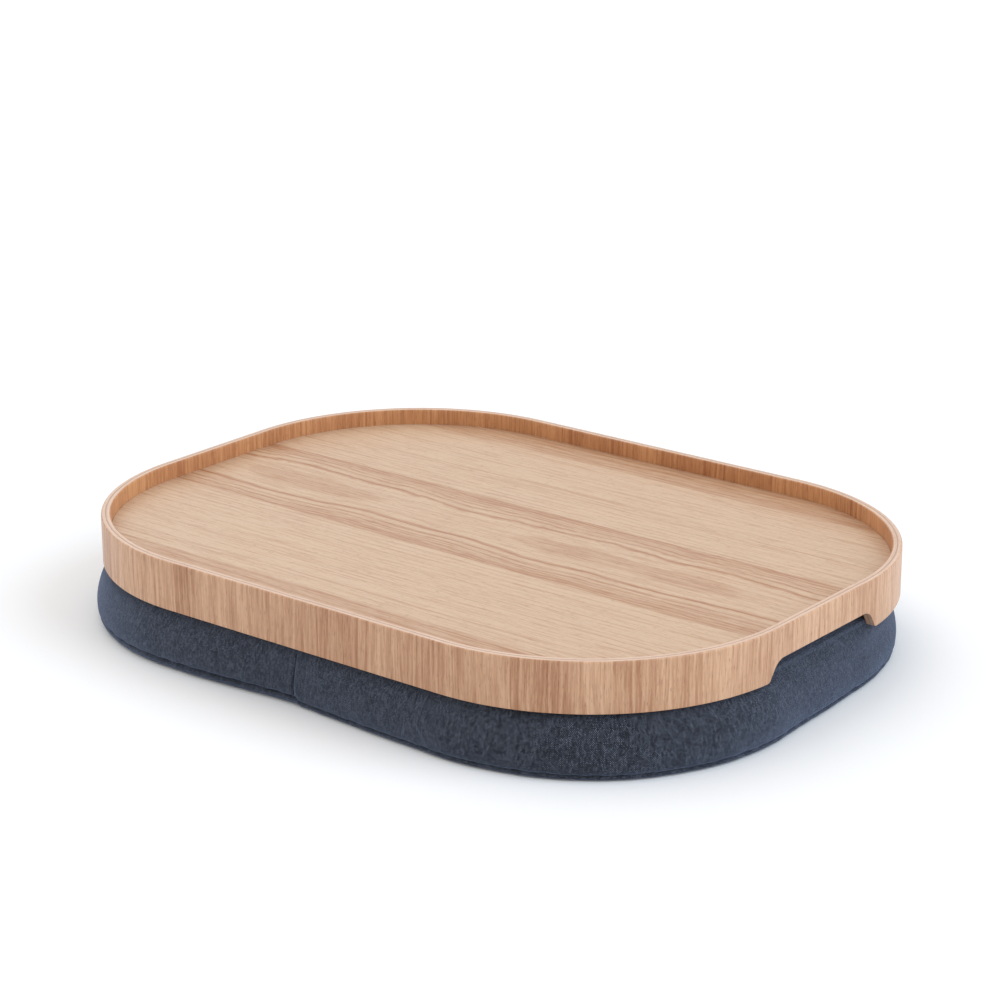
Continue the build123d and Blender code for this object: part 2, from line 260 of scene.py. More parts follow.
@dataclass(frozen=True)
class Lattice:
    """Faces between the neighbouring rows and columns of a table of points.

    A pole is a first or last column whose points all lie in one place, so that its faces are
    triangles round one shared corner.
    """

    rows: int
    columns: int
    closed_rows: bool = True
    closed_columns: bool = False
    first_pole: bool = False
    last_pole: bool = False

    def cells(self) -> list[Array]:
        """Lists the corners of each face, anticlockwise from outside.

        Returns:
            The four-sided faces and those round each pole, with each corner's row and column, not
            yet wrapped round.
        """
        last = self.columns - 1
        down = np.arange(self.rows if self.closed_rows else self.rows - 1)
        end = self.columns if self.closed_columns else last - int(self.last_pole)
        over = np.arange(int(self.first_pole), end)
        i, j = (a.ravel() for a in np.meshgrid(down, over, indexing="ij"))
        faces = [[(i, j), (i + 1, j), (i + 1, j + 1), (i, j + 1)]]
        none = 0 * down
        if self.first_pole:
            faces.append([(down, none), (down + 1, none + 1), (down, none + 1)])
        if self.last_pole:
            before = none + last - 1
            faces.append([(down, before), (down + 1, before), (down, none + last)])
        return [np.stack([np.stack(corner, -1) for corner in face], 1) for face in faces]

    def numbers(self, cell: Array) -> Array:
        """Numbers the points at a face's corners: a pole's points all count as its first.

        Args:
            cell: Rows and columns of the corners.

        Returns:
            Point numbers.
        """
        row, column = cell[..., 0] % self.rows, cell[..., 1] % self.columns
        poles = (self.first_pole & (column == 0)) | (self.last_pole & (column == self.columns - 1))
        return np.where(poles, 0, row) * self.columns + column


def mesh_piece(name: str, points: Array, lattice: Lattice, uv: Array | None = None) -> Piece:
    """Makes an object from a table of points, with smooth faces.

    Args:
        name: The piece's name.
        points: Rows and columns of points.
        lattice: Which of them are joined by faces.
        uv: Map coordinates for each row and column, with one more of each where they close up.

    Returns:
        The piece, in the scene.
    """
    cells = lattice.cells()
    numbers = [lattice.numbers(c) for c in cells]
    used = np.unique(np.concatenate([n.ravel() for n in numbers]))
    loops = np.concatenate([np.searchsorted(used, n.ravel()) for n in numbers]).astype(np.int32)
    totals = np.concatenate([np.full(len(n), n.shape[1]) for n in numbers]).astype(np.int32)
    starts = np.concatenate([[0], np.cumsum(totals)[:-1]]).astype(np.int32)
    mesh = bpy.data.meshes.new(name)
    mesh.vertices.add(len(used))
    mesh.vertices.foreach_set("co", points.reshape(-1, 3)[used].astype(np.float32).ravel())
    mesh.loops.add(len(loops))
    mesh.loops.foreach_set("vertex_index", loops)
    mesh.polygons.add(len(totals))
    mesh.polygons.foreach_set("loop_start", starts)
    mesh.polygons.foreach_set("loop_total", totals)
    mesh.polygons.foreach_set("use_smooth", np.ones(len(totals), bool))
    mesh.update(calc_edges=True)
    if uv is not None:
        corners = np.concatenate([uv[c[..., 0], c[..., 1]].reshape(-1, 2) for c in cells])
        mesh.uv_layers.new(name=GRAIN_MAP).data.foreach_set("uv", corners.astype(np.float32).ravel())
    piece = bpy.data.objects.new(name, mesh)
    bpy.context.scene.collection.objects.link(piece)
    return piece


# Node trees


def shade(red: int, green: int, blue: int) -> tuple[float, float, float, float]:
    """Turns a screen colour from 0 to 255 into a linear one by the standard screen curve.

    Args:
        red: Its red.
        green: Its green.
        blue: Its blue.

    Returns:
        The linear colour with an alpha of 1.
    """
    levels = [c / 255 for c in (red, green, blue)]
    linear = [c / 12.92 if c <= 0.04045 else ((c + 0.055) / 1.055) ** 2.4 for c in levels]
    return (*linear, 1.0)


class Graph:
    """Adds nodes to one tree: a material's, the world's or a group's."""

    def __init__(self, tree: Tree) -> None:
        """Keeps the tree."""
        self.tree = tree

    def node(self, kind: str, inputs: dict | None = None, **settings: object) -> bpy.types.Node:
        """Adds a node.

        Args:
            kind: Blender's type name without its ShaderNode prefix.
            inputs: Values or sockets for its inputs, by name or number.
            settings: Properties of the node.

        Returns:
            The node.
        """
        made = self.tree.nodes.new("ShaderNode" + kind)
        for key, value in settings.items():
            setattr(made, key, value)
        for key, value in (inputs or {}).items():
            self.put(made.inputs[key], value)
        return made

    def put(self, socket: Socket, value: object) -> None:
        """Links a socket to an input, or sets the input's own value.

        Args:
            socket: The input.
            value: The other socket, or the value.
        """
        if isinstance(value, Socket):
            self.tree.links.new(value, socket)
        else:
            socket.default_value = value

    def math(self, operation: str, *values: Number, clamp: bool = False) -> Socket:
        """Result of an operation on numbers."""
        made = self.node("Math", dict(enumerate(values)), operation=operation, use_clamp=clamp)
        return made.outputs[0]

    def times(self, first: Number, second: Number) -> Socket:
        """Product of two numbers."""
        return self.math("MULTIPLY", first, second)

    def plus(self, first: Number, second: Number, clamp: bool = False) -> Socket:
        """Sum of two numbers, kept within 0 to 1 where clamp is set."""
        return self.math("ADD", first, second, clamp=clamp)

    def minus(self, first: Number, second: Number) -> Socket:
        """First number less the second."""
        return self.math("SUBTRACT", first, second)

    def over(self, first: Number, second: Number) -> Socket:
        """First number divided by the second."""
        return self.math("DIVIDE", first, second)

    def line(self, value: Number, slope: Number, start: Number) -> Socket:
        """A value times a slope, plus a start."""
        return self.math("MULTIPLY_ADD", value, slope, start)

    def swing(self, value: Socket, width: float, middle: Number = 0.0) -> Socket:
        """A middle plus a width times how far a value from 0 to 1 is above a half."""
        return self.line(self.minus(value, 0.5), width, middle)

    def vector(self, x: Number = 0.0, y: Number = 0.0, z: Number = 0.0) -> Socket:
        """Vector of three numbers."""
        return self.node("CombineXYZ", {0: x, 1: y, 2: z}).outputs[0]

    def split(self, vector: Socket) -> list[Socket]:
        """The three numbers of a vector."""
        return list(self.node("SeparateXYZ", {0: vector}).outputs)

    def noise(self, vector: Socket, detail: float = 2.0, rough: float = 0.5) -> Socket:
        """Fractal noise, 0 to 1, with cells of size 1."""
        inputs = {"Vector": vector, "Scale": 1.0, "Detail": detail, "Roughness": rough}
        return self.node("TexNoise", inputs).outputs[0]

    def waves(self, x: Number, y: Number, rates: tuple[float, float], row: Number) -> Socket:
        """Noise of two places, each times its rate, in a row of its own."""
        return self.noise(self.vector(self.times(x, rates[0]), self.times(y, rates[1]), row))

    def spread(self, vector: Socket, size: float) -> Socket:
        """A place counted in cells of a size."""
        return self.node("VectorMath", {0: vector, 3: 1 / size}, operation="SCALE").outputs[0]

    def step(self, value: Number, low: float, high: float) -> Socket:
        """Smooth rise from 0 at low to 1 at high; it falls where low is above high."""
        inputs = {"Value": value, "From Min": low, "From Max": high}
        return self.node("MapRange", inputs, interpolation_type="SMOOTHSTEP").outputs[0]

    def scale(self, value: Number, low: float, high: float) -> Socket:
        """Spreads 0 to 1 over low to high."""
        return self.node("MapRange", {"Value": value, "To Min": low, "To Max": high}).outputs[0]

    def mix(self, amount: Number, first: object, second: object) -> Socket:
        """Mixes two colours."""
        made = self.node("Mix", {0: amount, 6: first, 7: second}, data_type="RGBA", clamp_factor=True)
        return made.outputs[2]

    def group(self, made: Tree, **inputs: Number) -> bpy.types.Node:
        """Places a node group.

        Args:
            made: The group.
            inputs: Values or sockets for its inputs, by name.

        Returns:
            The node that stands for it.
        """
        placed = self.tree.nodes.new("ShaderNodeGroup")
        placed.node_tree = made
        for key, value in inputs.items():
            self.put(placed.inputs[key], value)
        return placed


class Group(Graph):
    """A node group while it is built, with its own inputs and outputs."""

    def __init__(self, name: str, vectors: tuple, numbers: tuple, outputs: tuple) -> None:
        """Starts the group.

        Args:
            name: Its name.
            vectors: Names of the inputs that are vectors.
            numbers: Names of the inputs that are numbers.
            outputs: Names of its outputs, all numbers.
        """
        super().__init__(bpy.data.node_groups.new(name, "ShaderNodeTree"))
        rows = [(key, "INPUT", "NodeSocketVector") for key in vectors]
        rows += [(key, "INPUT", "NodeSocketFloat") for key in numbers]
        rows += [(key, "OUTPUT", "NodeSocketFloat") for key in outputs]
        for key, way, kind in rows:
            self.tree.interface.new_socket(name=key, in_out=way, socket_type=kind)
        self.given = self.tree.nodes.new("NodeGroupInput").outputs
        self.result = self.tree.nodes.new("NodeGroupOutput").inputs

    def finished(self, **values: Socket) -> Tree:
        """Feeds the outputs by name.

        Args:
            values: A socket for each output.

        Returns:
            The group.
        """
        for key, value in values.items():
            self.put(self.result[key], value)
        return self.tree


@dataclass(frozen=True)
class StraightGrain:
    """Node group for the straight grain of sliced wood.

    Each output is a noise stretched along the grain, with cells of a width and a length. Half of
    the growth lines are such a noise, and half are the last part of each step of a rising count of
    rings, which falls off sharply on one side, as late wood does. The grain wanders slowly sideways.
    """

    tone: tuple = (22 * MM, 700 * MM)
    lines: tuple = (2.2 * MM, 300 * MM)
    streaks: tuple = (1.1 * MM, 24 * MM)
    fibres: tuple = (0.5 * MM, 9 * MM)
    pores: tuple = (0.35 * MM, 5 * MM)
    ring: float = 4.7 * MM
    ring_drift: float = 5.0
    late_rise: tuple = (0.35, 0.96)
    late_fall: tuple = (1.0, 0.965)
    wander: float = 5 * MM
    wander_rates: tuple = (7.0, 25.0)

    def make(self) -> Tree:
        """Builds the group: the seed plus a shift picks each noise's own row.

        Returns:
            The group.
        """
        outputs = ("Tone", "Lines", "Streaks", "Fibres", "Pores")
        g = Group("straight grain", (), ("Along", "Across", "Seed"), outputs)
        along, across, seed = (g.given[key] for key in ("Along", "Across", "Seed"))
        bent = g.swing(g.waves(along, across, self.wander_rates, seed), self.wander, across)

        def stretched(cell: tuple, shift: float, detail: float = 2.0, rough: float = 0.6) -> Socket:
            """Noise with cells of a width across the grain and a length along it."""
            place = g.vector(g.over(bent, cell[0]), g.over(along, cell[1]), g.plus(seed, shift))
            return g.noise(place, detail, rough)

        tone = stretched(self.tone, 3.1, 3.0)
        count = g.line(tone, self.ring_drift, g.over(bent, self.ring))
        place = g.math("FRACT", count)
        late = g.times(g.step(place, *self.late_rise), g.step(place, *self.late_fall))
        lines = g.step(stretched(self.lines, 7.7, 4.0, 0.75), 0.42, 0.66)
        return g.finished(
            Tone=tone,
            Lines=g.line(late, 0.5, g.times(lines, 0.5)),
            Streaks=g.step(stretched(self.streaks, 11.3), 0.36, 0.64),
            Fibres=stretched(self.fibres, 17.9),
            Pores=g.step(stretched(self.pores, 23.9, 1.0, 0.5), 0.60, 0.72),
        )


@dataclass(frozen=True)
class PlainWeave:
    """Node group for a plain weave of mixed yarn.

    The product of two sines is positive where a warp thread lies on top and negative where a weft
    thread does, and the root of its size is the height. Each thread has its own noise along its
    length, which gives the mottled tone. The threads' numbers are spread and shifted, because a
    noise is always a half at whole numbers.
    """

    run: float = 0.21
    apart: float = 0.83
    shift: float = 0.31
    swap: float = 0.12
    detail: float = 3.0
    rough: float = 0.8

    def make(self) -> Tree:
        """Builds the group.

        Returns:
            The group.
        """
        g = Group("plain weave", ("Map",), ("Thread", "Seed"), ("Height", "Warp", "Tone"))
        thread, seed = g.given["Thread"], g.given["Seed"]
        x, y = (g.over(a, thread) for a in g.split(g.given["Map"])[:2])
        over = g.times(*(g.math("SINE", g.times(a, math.pi)) for a in (x, y)))
        own_x, own_y = (g.line(g.math("FLOOR", a), self.apart, self.shift) for a in (x, y))
        warp = g.noise(g.vector(own_x, g.times(y, self.run), seed), self.detail, self.rough)
        weft = g.noise(g.vector(g.times(x, self.run), own_y, seed), self.detail, self.rough)
        on_top = g.step(over, -self.swap, self.swap)
        tone = g.line(warp, on_top, g.times(weft, g.minus(1.0, on_top)))
        height = g.math("SQRT", g.math("ABSOLUTE", over))
        return g.finished(Height=height, Warp=on_top, Tone=tone)


@dataclass(frozen=True)
class Handling:
    """Node group for the slight change of gloss from handling: a wide noise and a small one."""

    wide: float = 60 * MM
    small: float = 8 * MM
    wide_share: float = 0.7

    def make(self) -> Tree:
        """Builds the group.

        Returns:
            The group.
        """
        g = Group("handling", ("Place",), (), ("Gloss",))
        wide, small = (g.noise(g.spread(g.given["Place"], size)) for size in (self.wide, self.small))
        return g.finished(Gloss=g.line(wide, self.wide_share, g.times(small, 1 - self.wide_share)))


class Effects:
    """Node groups that more than one finish uses, each built once."""

    def __init__(self) -> None:
        """Builds the groups."""
        self.grain = StraightGrain().make()
        self.weave = PlainWeave().make()
        self.handling = Handling().make()


class Finish:
    """A material with one Principled shader."""

    def __init__(self, name: str) -> None:
        """Starts the material."""
        self.material = bpy.data.materials.new(name)
        self.material.use_nodes = True
        self.graph = Graph(self.material.node_tree)
        self.shader = self.material.node_tree.nodes["Principled BSDF"]

    def set(self, **values: object) -> None:
        """Sets or links the shader's inputs by their names, with underscores for spaces."""
        for key, value in values.items():
            self.graph.put(self.shader.inputs[key.replace("_", " ")], value)

    def bump(self, height: Socket, distance: float, strength: float) -> None:
        """Feeds a height to the shader's normal."""
        inputs = {"Height": height, "Distance": distance, "Strength": strength}
        self.set(Normal=self.graph.node("Bump", inputs).outputs[0])

    def place(self) -> Socket:
        """Object coordinates."""
        return self.graph.node("TexCoord").outputs["Object"]

    def map(self) -> Socket:
        """The piece's own map, in metres."""
        return self.graph.node("UVMap", uv_map=GRAIN_MAP).outputs[0]

    def gloss(self, effects: Effects, rough: float) -> None:
        """Lets handling swing the roughness by 0.07 round a middle value."""
        worn = self.graph.group(effects.handling, Place=self.place()).outputs[0]
        self.set(Roughness=self.graph.scale(worn, rough - 0.07, rough + 0.07))


@dataclass(frozen=True)
class Tones:
    """A wood's screen colours: between its lines, in its lines, and in its pores."""

    pale: Rgb
    deep: Rgb
    pore: Rgb
    streaks: float = 0.17
    fibres: float = 0.30
    relief: float = 0.04 * MM

    def paint(self, made: Finish, amount: Socket, grain: list[Socket], pores: float) -> None:
        """Colours the wood: an amount from pale to deep, moved by the streaks, with dark pores.

        Args:
            made: The finish.
            amount: How deep the colour is.
            grain: Streaks, fibres and pores from the grain group.
            pores: Share of the pores' own colour.
        """
        g = made.graph
        streaks, fibres, holes = grain
        moved = g.plus(amount, g.scale(streaks, -self.streaks, self.streaks))
        moved = g.plus(moved, g.scale(fibres, -self.fibres, self.fibres), clamp=True)
        ground = g.mix(moved, shade(*self.pale), shade(*self.deep))
        made.set(Base_Color=g.mix(g.times(holes, pores), ground, shade(*self.pore)))
        made.bump(g.minus(fibres, holes), self.relief, 0.6)


@dataclass(frozen=True)
class Veneer:
    """Lacquered wood with straight grain on a piece's own map.

    The amount of deep colour is a middle value plus shares of the broad tone and the growth lines,
    and each strip across the grain, counted off in uneven steps, is paler or deeper than the next.
    """

    name: str
    tones: Tones
    run: Run
    seed: float
    middle: float = 0.27
    broad: float = 1.1
    lines: float = 0.40
    strip: float = 17 * MM
    strips: float = 0.7
    strip_drift: float = 4.0
    strip_place: tuple = (0.77, 0.4, 0.3)
    pores: float = 0.45
    rough: float = 0.40

    def make(self, effects: Effects) -> Material:
        """Builds the material. A strip's tone is a noise of its number, at a place of its own.

        Args:
            effects: The shared node groups.

        Returns:
            The material.
        """
        made = Finish(self.name)
        g = made.graph
        u, v, _ = g.split(made.map())
        along, across = (v, u) if self.run is Run.UPRIGHT else (u, v)
        group = g.group(effects.grain, Along=along, Across=across, Seed=self.seed)
        tone, lines, *grain = group.outputs
        amount = g.plus(g.line(lines, self.lines, g.swing(tone, self.broad)), self.middle)
        count = g.math("FLOOR", g.line(tone, self.strip_drift, g.over(across, self.strip)))
        pace, row, shift = self.strip_place
        strip = g.noise(g.vector(g.times(count, pace), row, self.seed + shift), 0.0)
        self.tones.paint(made, g.swing(strip, self.strips, amount), grain, self.pores)
        made.gloss(effects, self.rough)
        return made.material


@dataclass(frozen=True)
class PanelVeneer:
    """The tray's surface: a crown-cut leaf between straight-grained ones, with the grain along X.

    A crown-cut leaf shows a trunk's yearly rings cut lengthwise: a ring's radius is the root of the
    squares of the place across the leaf and the cut's distance from the heart. That distance dips
    where the photograph shows a long lens, and both wander a little along the leaf. The rings are
    wide in the middle and crowd towards the leaf's edges. Lenses are place, reach and dip, and
    rings are radius in millimetres and amount of deep colour.
    """

    name: str = "panel veneer"
    tones: Tones = Tones((210, 177, 145), (166, 108, 68), (118, 74, 50))
    seed: float = 31.0
    crown_middle: float = 4 * MM
    leaf_low: float = -41.5 * MM
    leaf_high: float = 47.5 * MM
    next_low: float = -125.2 * MM
    next_high: float = 131.8 * MM
    low_edge: float = 3 * MM
    high_edge: float = 0.6 * MM
    next_edge: float = 1.2 * MM
    slant: float = 0.015
    ragged: float = 1 * MM
    ragged_rate: float = 30.0
    heart: float = 15 * MM
    heart_swing: float = 4 * MM
    middle_swing: float = 13 * MM
    line_swing: float = 3 * MM
    slow_rates: tuple = (17.0, 8.0)
    quick_rates: tuple = (60.0, 70.0)
    broad: float = 0.60
    lines: float = 0.42
    middle: float = -0.02
    next_deeper: float = 0.34
    crown_lines: float = 0.10
    pores: float = 0.40
    rough: float = 0.40
    lenses: tuple = (
        (-142 * MM, 44 * MM, -8.5 * MM), (50 * MM, 40 * MM, -6 * MM), (128 * MM, 34 * MM, -7.5 * MM),
    )
    reach: float = 50 * MM
    rings: tuple = (
        (0.0, 0.40), (9.5, 0.46), (12.4, 0.38), (13.8, 0.14), (17.2, 0.13), (18.9, 0.26), (19.4, 0.11),
        (22.2, 0.06), (22.9, 0.40), (24.9, 0.92), (25.8, 0.30), (27.6, 0.06), (29.2, 0.24), (30.9, 0.70),
        (31.6, 0.24), (33.0, 0.24), (35.0, 0.72), (35.5, 0.30), (37.6, 0.52), (38.0, 0.28), (40.6, 0.78),
        (41.1, 0.40), (43.4, 0.84), (43.9, 0.42), (45.6, 0.66), (50.0, 0.30),
    )

    def _crown(self, g: Graph, x: Socket, y: Socket) -> Socket:
        """Reads the amount of deep colour in the crown-cut leaf off the rings, by radius.

        Args:
            g: The material's graph.
            x: Place along the leaf.
            y: Place across it.

        Returns:
            The amount.
        """
        slow, quick = g.waves(x, y, self.slow_rates, 4.0), g.waves(x, y, self.quick_rates, 9.0)
        depth = g.swing(quick, self.heart_swing, self.heart)
        for place, reach, dip in self.lenses:
            off = g.over(g.minus(x, place), reach)
            fall = g.math("EXPONENT", g.times(g.times(off, off), -1.0))
            depth = g.line(fall, dip, depth)
        across = g.minus(y, g.swing(slow, self.middle_swing, self.crown_middle))
        bent = g.swing(quick, self.line_swing, across)
        squares = g.plus(g.times(bent, bent), g.times(depth, depth))
        ramp = g.node("ValToRGB", {0: g.over(g.math("SQRT", squares), self.reach)})
        marks = ramp.color_ramp.elements
        for number, (radius, amount) in enumerate(self.rings):
            share = radius * MM / self.reach
            mark = marks[number] if number < 2 else marks.new(share)
            mark.position = share
            mark.color = (amount, amount, amount, 1)
        return ramp.outputs[0]

    def make(self, effects: Effects) -> Material:
        """Builds the material: the crown inside its leaf's edges, and straight grain beyond them.

        Args:
            effects: The shared node groups.

        Returns:
            The material.
        """
        made = Finish(self.name)
        g = made.graph
        x, y, _ = g.split(made.place())
        rag = g.noise(g.vector(g.times(x, self.ragged_rate), 0.0, 2.0))
        ragged = g.line(rag, self.ragged, y)
        slanted = g.line(x, self.slant, ragged)
        above_low = g.step(slanted, self.leaf_low, self.leaf_low + self.low_edge)
        below_high = g.step(ragged, self.leaf_high + self.high_edge, self.leaf_high)
        inside = g.times(above_low, below_high)
        above = g.step(ragged, self.next_high, self.next_high + self.next_edge)
        below = g.step(ragged, self.next_low, self.next_low - self.next_edge)
        group = g.group(effects.grain, Along=x, Across=y, Seed=self.seed)
        tone, lines, *grain = group.outputs
        plain = g.plus(g.line(lines, self.lines, g.swing(tone, self.broad)), self.middle)
        banded = g.line(g.math("MAXIMUM", above, below), self.next_deeper, plain)
        crown = g.line(lines, self.crown_lines, self._crown(g, x, y))
        amount = g.plus(g.times(inside, crown), g.times(g.minus(1.0, inside), banded))
        self.tones.paint(made, amount, grain, self.pores)
        made.gloss(effects, self.rough)
        return made.material


@dataclass(frozen=True)
class Cloth:
    """Woven cloth on a piece's own map.

    Each yarn's tone mixes its dark and its pale screen colour, and slubs and slow drifts add to that tone.
    The gaps between the yarns are painted dark, as painted shade in the low places of the weave.
    """

    name: str
    warp: tuple[Rgb, Rgb]
    weft: tuple[Rgb, Rgb]
    # Colour of the painted shade in the gaps between the yarns.
    gap: Rgb
    sheen: float = 0.54
    sheen_tint: Rgb = (184, 207, 252)
    seed: float = 0.5
    thread: float = 0.53 * MM
    tone: tuple = (0.36, 0.74)
    drift: float = 0.12
    drift_cell: float = 12 * MM
    slubs: float = 0.11
    slub_cell: float = 1.2 * MM
    gap_shade_edge: tuple = (0.60, 0.10)
    gap_shade_share: float = 0.75
    relief: float = 0.12 * MM
    rough: float = 0.85

    def make(self, effects: Effects) -> Material:
        """Builds the material.

        Args:
            effects: The shared node groups.

        Returns:
            The material.
        """
        made = Finish(self.name)
        g = made.graph
        flat = made.map()
        group = g.group(effects.weave, Map=flat, Thread=self.thread, Seed=self.seed)
        height, on_top, tone = group.outputs
        drift = g.noise(g.spread(flat, self.drift_cell), 2.0)
        slubs = g.step(g.noise(g.spread(flat, self.slub_cell), 2.0, 0.7), 0.3, 0.7)
        level = g.plus(g.step(tone, *self.tone), g.scale(drift, -self.drift, self.drift))
        level = g.plus(level, g.scale(slubs, -self.slubs, self.slubs), clamp=True)
        warp, weft = (g.mix(level, *(shade(*c) for c in yarn)) for yarn in (self.warp, self.weft))
        # Painted shade: the low places between the yarns are mixed towards the dark gap colour.
        sunk = g.times(g.step(height, *self.gap_shade_edge), self.gap_shade_share)
        made.set(Base_Color=g.mix(sunk, g.mix(on_top, weft, warp), shade(*self.gap)))
        made.set(Roughness=self.rough, Specular_IOR_Level=0.25)
        made.set(Sheen_Weight=self.sheen, Sheen_Roughness=0.45, Sheen_Tint=shade(*self.sheen_tint))
        made.bump(height, self.relief, 0.9)
        return made.material


@dataclass(frozen=True)
class Solid:
    """Plastic, painted metal, pile or beads on Object coordinates, with a fine grain of their own."""

    name: str
    base: Rgb
    worn: Rgb
    rough: float
    metal: float = 0.0
    grain: float = 1.1 * MM
    relief: float = 0.03 * MM
    wear: float = 20 * MM

    def make(self, effects: Effects) -> Material:
        """Builds the material: wear follows a broad noise and a fine one, and the bump the fine one.

        Args:
            effects: The shared node groups.

        Returns:
            The material.
        """
        made = Finish(self.name)
        g = made.graph
        fine = g.noise(g.spread(made.place(), self.grain))
        broad = g.noise(g.spread(made.place(), self.wear))
        worn = g.times(g.step(broad, 0.45, 0.75), g.step(fine, 0.35, 0.65))
        made.set(Base_Color=g.mix(worn, shade(*self.base), shade(*self.worn)), Metallic=self.metal)
        made.bump(fine, self.relief, 0.8)
        made.gloss(effects, self.rough)
        return made.material


class Finishes:
    """Every material of the object."""

    def __init__(self) -> None:
        """Builds the materials from the shared effects."""
        effects = Effects()
        oak = Tones((226, 181, 145), (164, 106, 68), (116, 72, 48))
        # Painted shade: the inner wall's tones are the rim's oak made darker and more orange, standing in
        # for the shade inside the rim and the warm light thrown back by the wood round it.
        wall_painted_shade = Tones((216, 158, 109), (162, 98, 58), (112, 66, 40))
        cream = Tones((224, 192, 168), (198, 156, 128), (158, 114, 88))
        brown = Tones((190, 150, 124), (158, 118, 94), (112, 80, 62))
        cover_warp, cover_weft = ((27, 29, 35), (122, 129, 146)), ((20, 22, 26), (56, 61, 72))
        tape_warp, tape_weft = ((36, 41, 52), (58, 65, 79)), ((30, 34, 43), (50, 56, 68))
        liner_warp, liner_weft = ((214, 213, 207), (238, 237, 232)), ((206, 205, 199), (230, 229, 224))
        kinds = {
            "rim": Veneer("rim veneer", oak, Run.UPRIGHT, 2.0),
            "wall": Veneer("rim inside veneer", wall_painted_shade, Run.UPRIGHT, 9.0),
            "panel": PanelVeneer(),
            "ply": Veneer("ply edge", cream, Run.ALONG, 4.0, lines=0.2),
            "cross": Veneer("cross ply edge", brown, Run.ALONG, 6.0, lines=0.2),
            "core": Solid("panel core", (214, 182, 150), (190, 150, 116), 0.6, grain=2.5 * MM),
            # Each cloth's third colour is the painted shade in the gaps between its yarns.
            "cover": Cloth("cover cloth", cover_warp, cover_weft, (9, 10, 13)),
            "tape": Cloth("zip tape cloth", tape_warp, tape_weft, (14, 16, 20), 0.1,
                          seed=3.0, thread=0.4 * MM),
            "liner": Cloth("liner cloth", liner_warp, liner_weft, (150, 149, 144), 0.1, seed=5.0),
            "beads": Solid("beads", (240, 240, 236), (226, 226, 222), 0.7,
                           grain=2.4 * MM, relief=1.2 * MM),
            "hooks": Solid("hook tape", (28, 30, 35), (46, 49, 56), 0.7,
                           grain=0.6 * MM, relief=0.4 * MM),
            "loops": Solid("loop tape", (34, 37, 43), (60, 64, 72), 0.9,
                           grain=0.8 * MM, relief=0.6 * MM),
            "teeth": Solid("zip teeth", (44, 49, 60), (66, 72, 84), 0.38),
            "metal": Solid("zip metal", (52, 56, 64), (110, 113, 118), 0.32, 0.75),
        }
        self.made = {key: kind.make(effects) for key, kind in kinds.items()}

    def __getitem__(self, key: str) -> Material:
        """A material by its key."""
        return self.made[key]


def dress(name: str, material: Material) -> None:
    """Gives a CAD node that stays in view its finish.

    Args:
        name: The node's name.
        material: The finish.
    """
    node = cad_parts[name]
    node.data.materials.clear()
    node.data.materials.append(material)
    LOG.info("dressed %s with %s", name, material.name)


def settle(piece: Piece, body: Body, slot: str, finish: Material, *stands_for: str) -> None:
    """Gives a new piece its body and finish, and hides the CAD nodes that it stands for.

    Args:
        piece: The piece.
        body: The body it rides on.
        slot: Not used.
        finish: Its material.
        stands_for: The CAD nodes.
    """
    piece.data.materials.append(finish)
    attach(piece, body.value)
    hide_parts(*stands_for)
    LOG.info("%s: %d faces, rides on %s", piece.name, len(piece.data.polygons), body.value)


# The tray


@dataclass(frozen=True)
class Notch:
    """Finger notch in the lower edge of each short end."""

    foot_half: float = 50 * MM
    head_half: float = 43 * MM
    height: float = 10.5 * MM
    foot_radius: float = 2.5 * MM
    head_radius: float = 10 * MM

    def lift(self, y: Array) -> Array:
        """Height of the rim's lower edge above its lowest, by the place along Y.

        The slanted side is a line from foot to head, and an arc that touches both neighbours eases
        each of its ends.

        Args:
            y: Places along the end.

        Returns:
            Heights, 0 beyond the notch and all of its height in the middle.
        """
        side = np.abs(y)
        slope = self.height / (self.foot_half - self.head_half)
        turn = math.atan(slope)
        foot_tangent, head_tangent = (r * math.tan(turn / 2) for r in (self.foot_radius, self.head_radius))
        foot, head = self.foot_half + foot_tangent, self.head_half - head_tangent
        across_foot = np.clip(foot - side, 0, self.foot_radius)
        across_head = np.clip(side - head, 0, self.head_radius)
        foot_arc = self.foot_radius - np.sqrt(self.foot_radius**2 - across_foot**2)
        head_arc = self.height - self.head_radius + np.sqrt(self.head_radius**2 - across_head**2)
        foot_end = self.foot_half - foot_tangent * math.cos(turn)
        head_end = self.head_half + head_tangent * math.cos(turn)
        line = (self.foot_half - side) * slope
        stretches = [side > foot_end, side > head_end, side > head]
        return np.select(stretches, [foot_arc, line, head_arc], self.height)


@dataclass(frozen=True)
class Layer:
    """One layer of the bent rim.

    Attributes:
        name: Name of the CAD node it stands for.
        outside: Depth of its outer face, in from the rim's outside.
        inside: Depth of its inner face.
        slot: Its material slot.
        finish: Its material's key.
        low: Height of its flat underside, where it doesn't reach the rim's.
        high: Height of its flat top, where it doesn't reach the rim's.
    """

    name: str
    outside: float
    inside: float
    slot: str
    finish: str
    low: float | None = None
    high: float | None = None


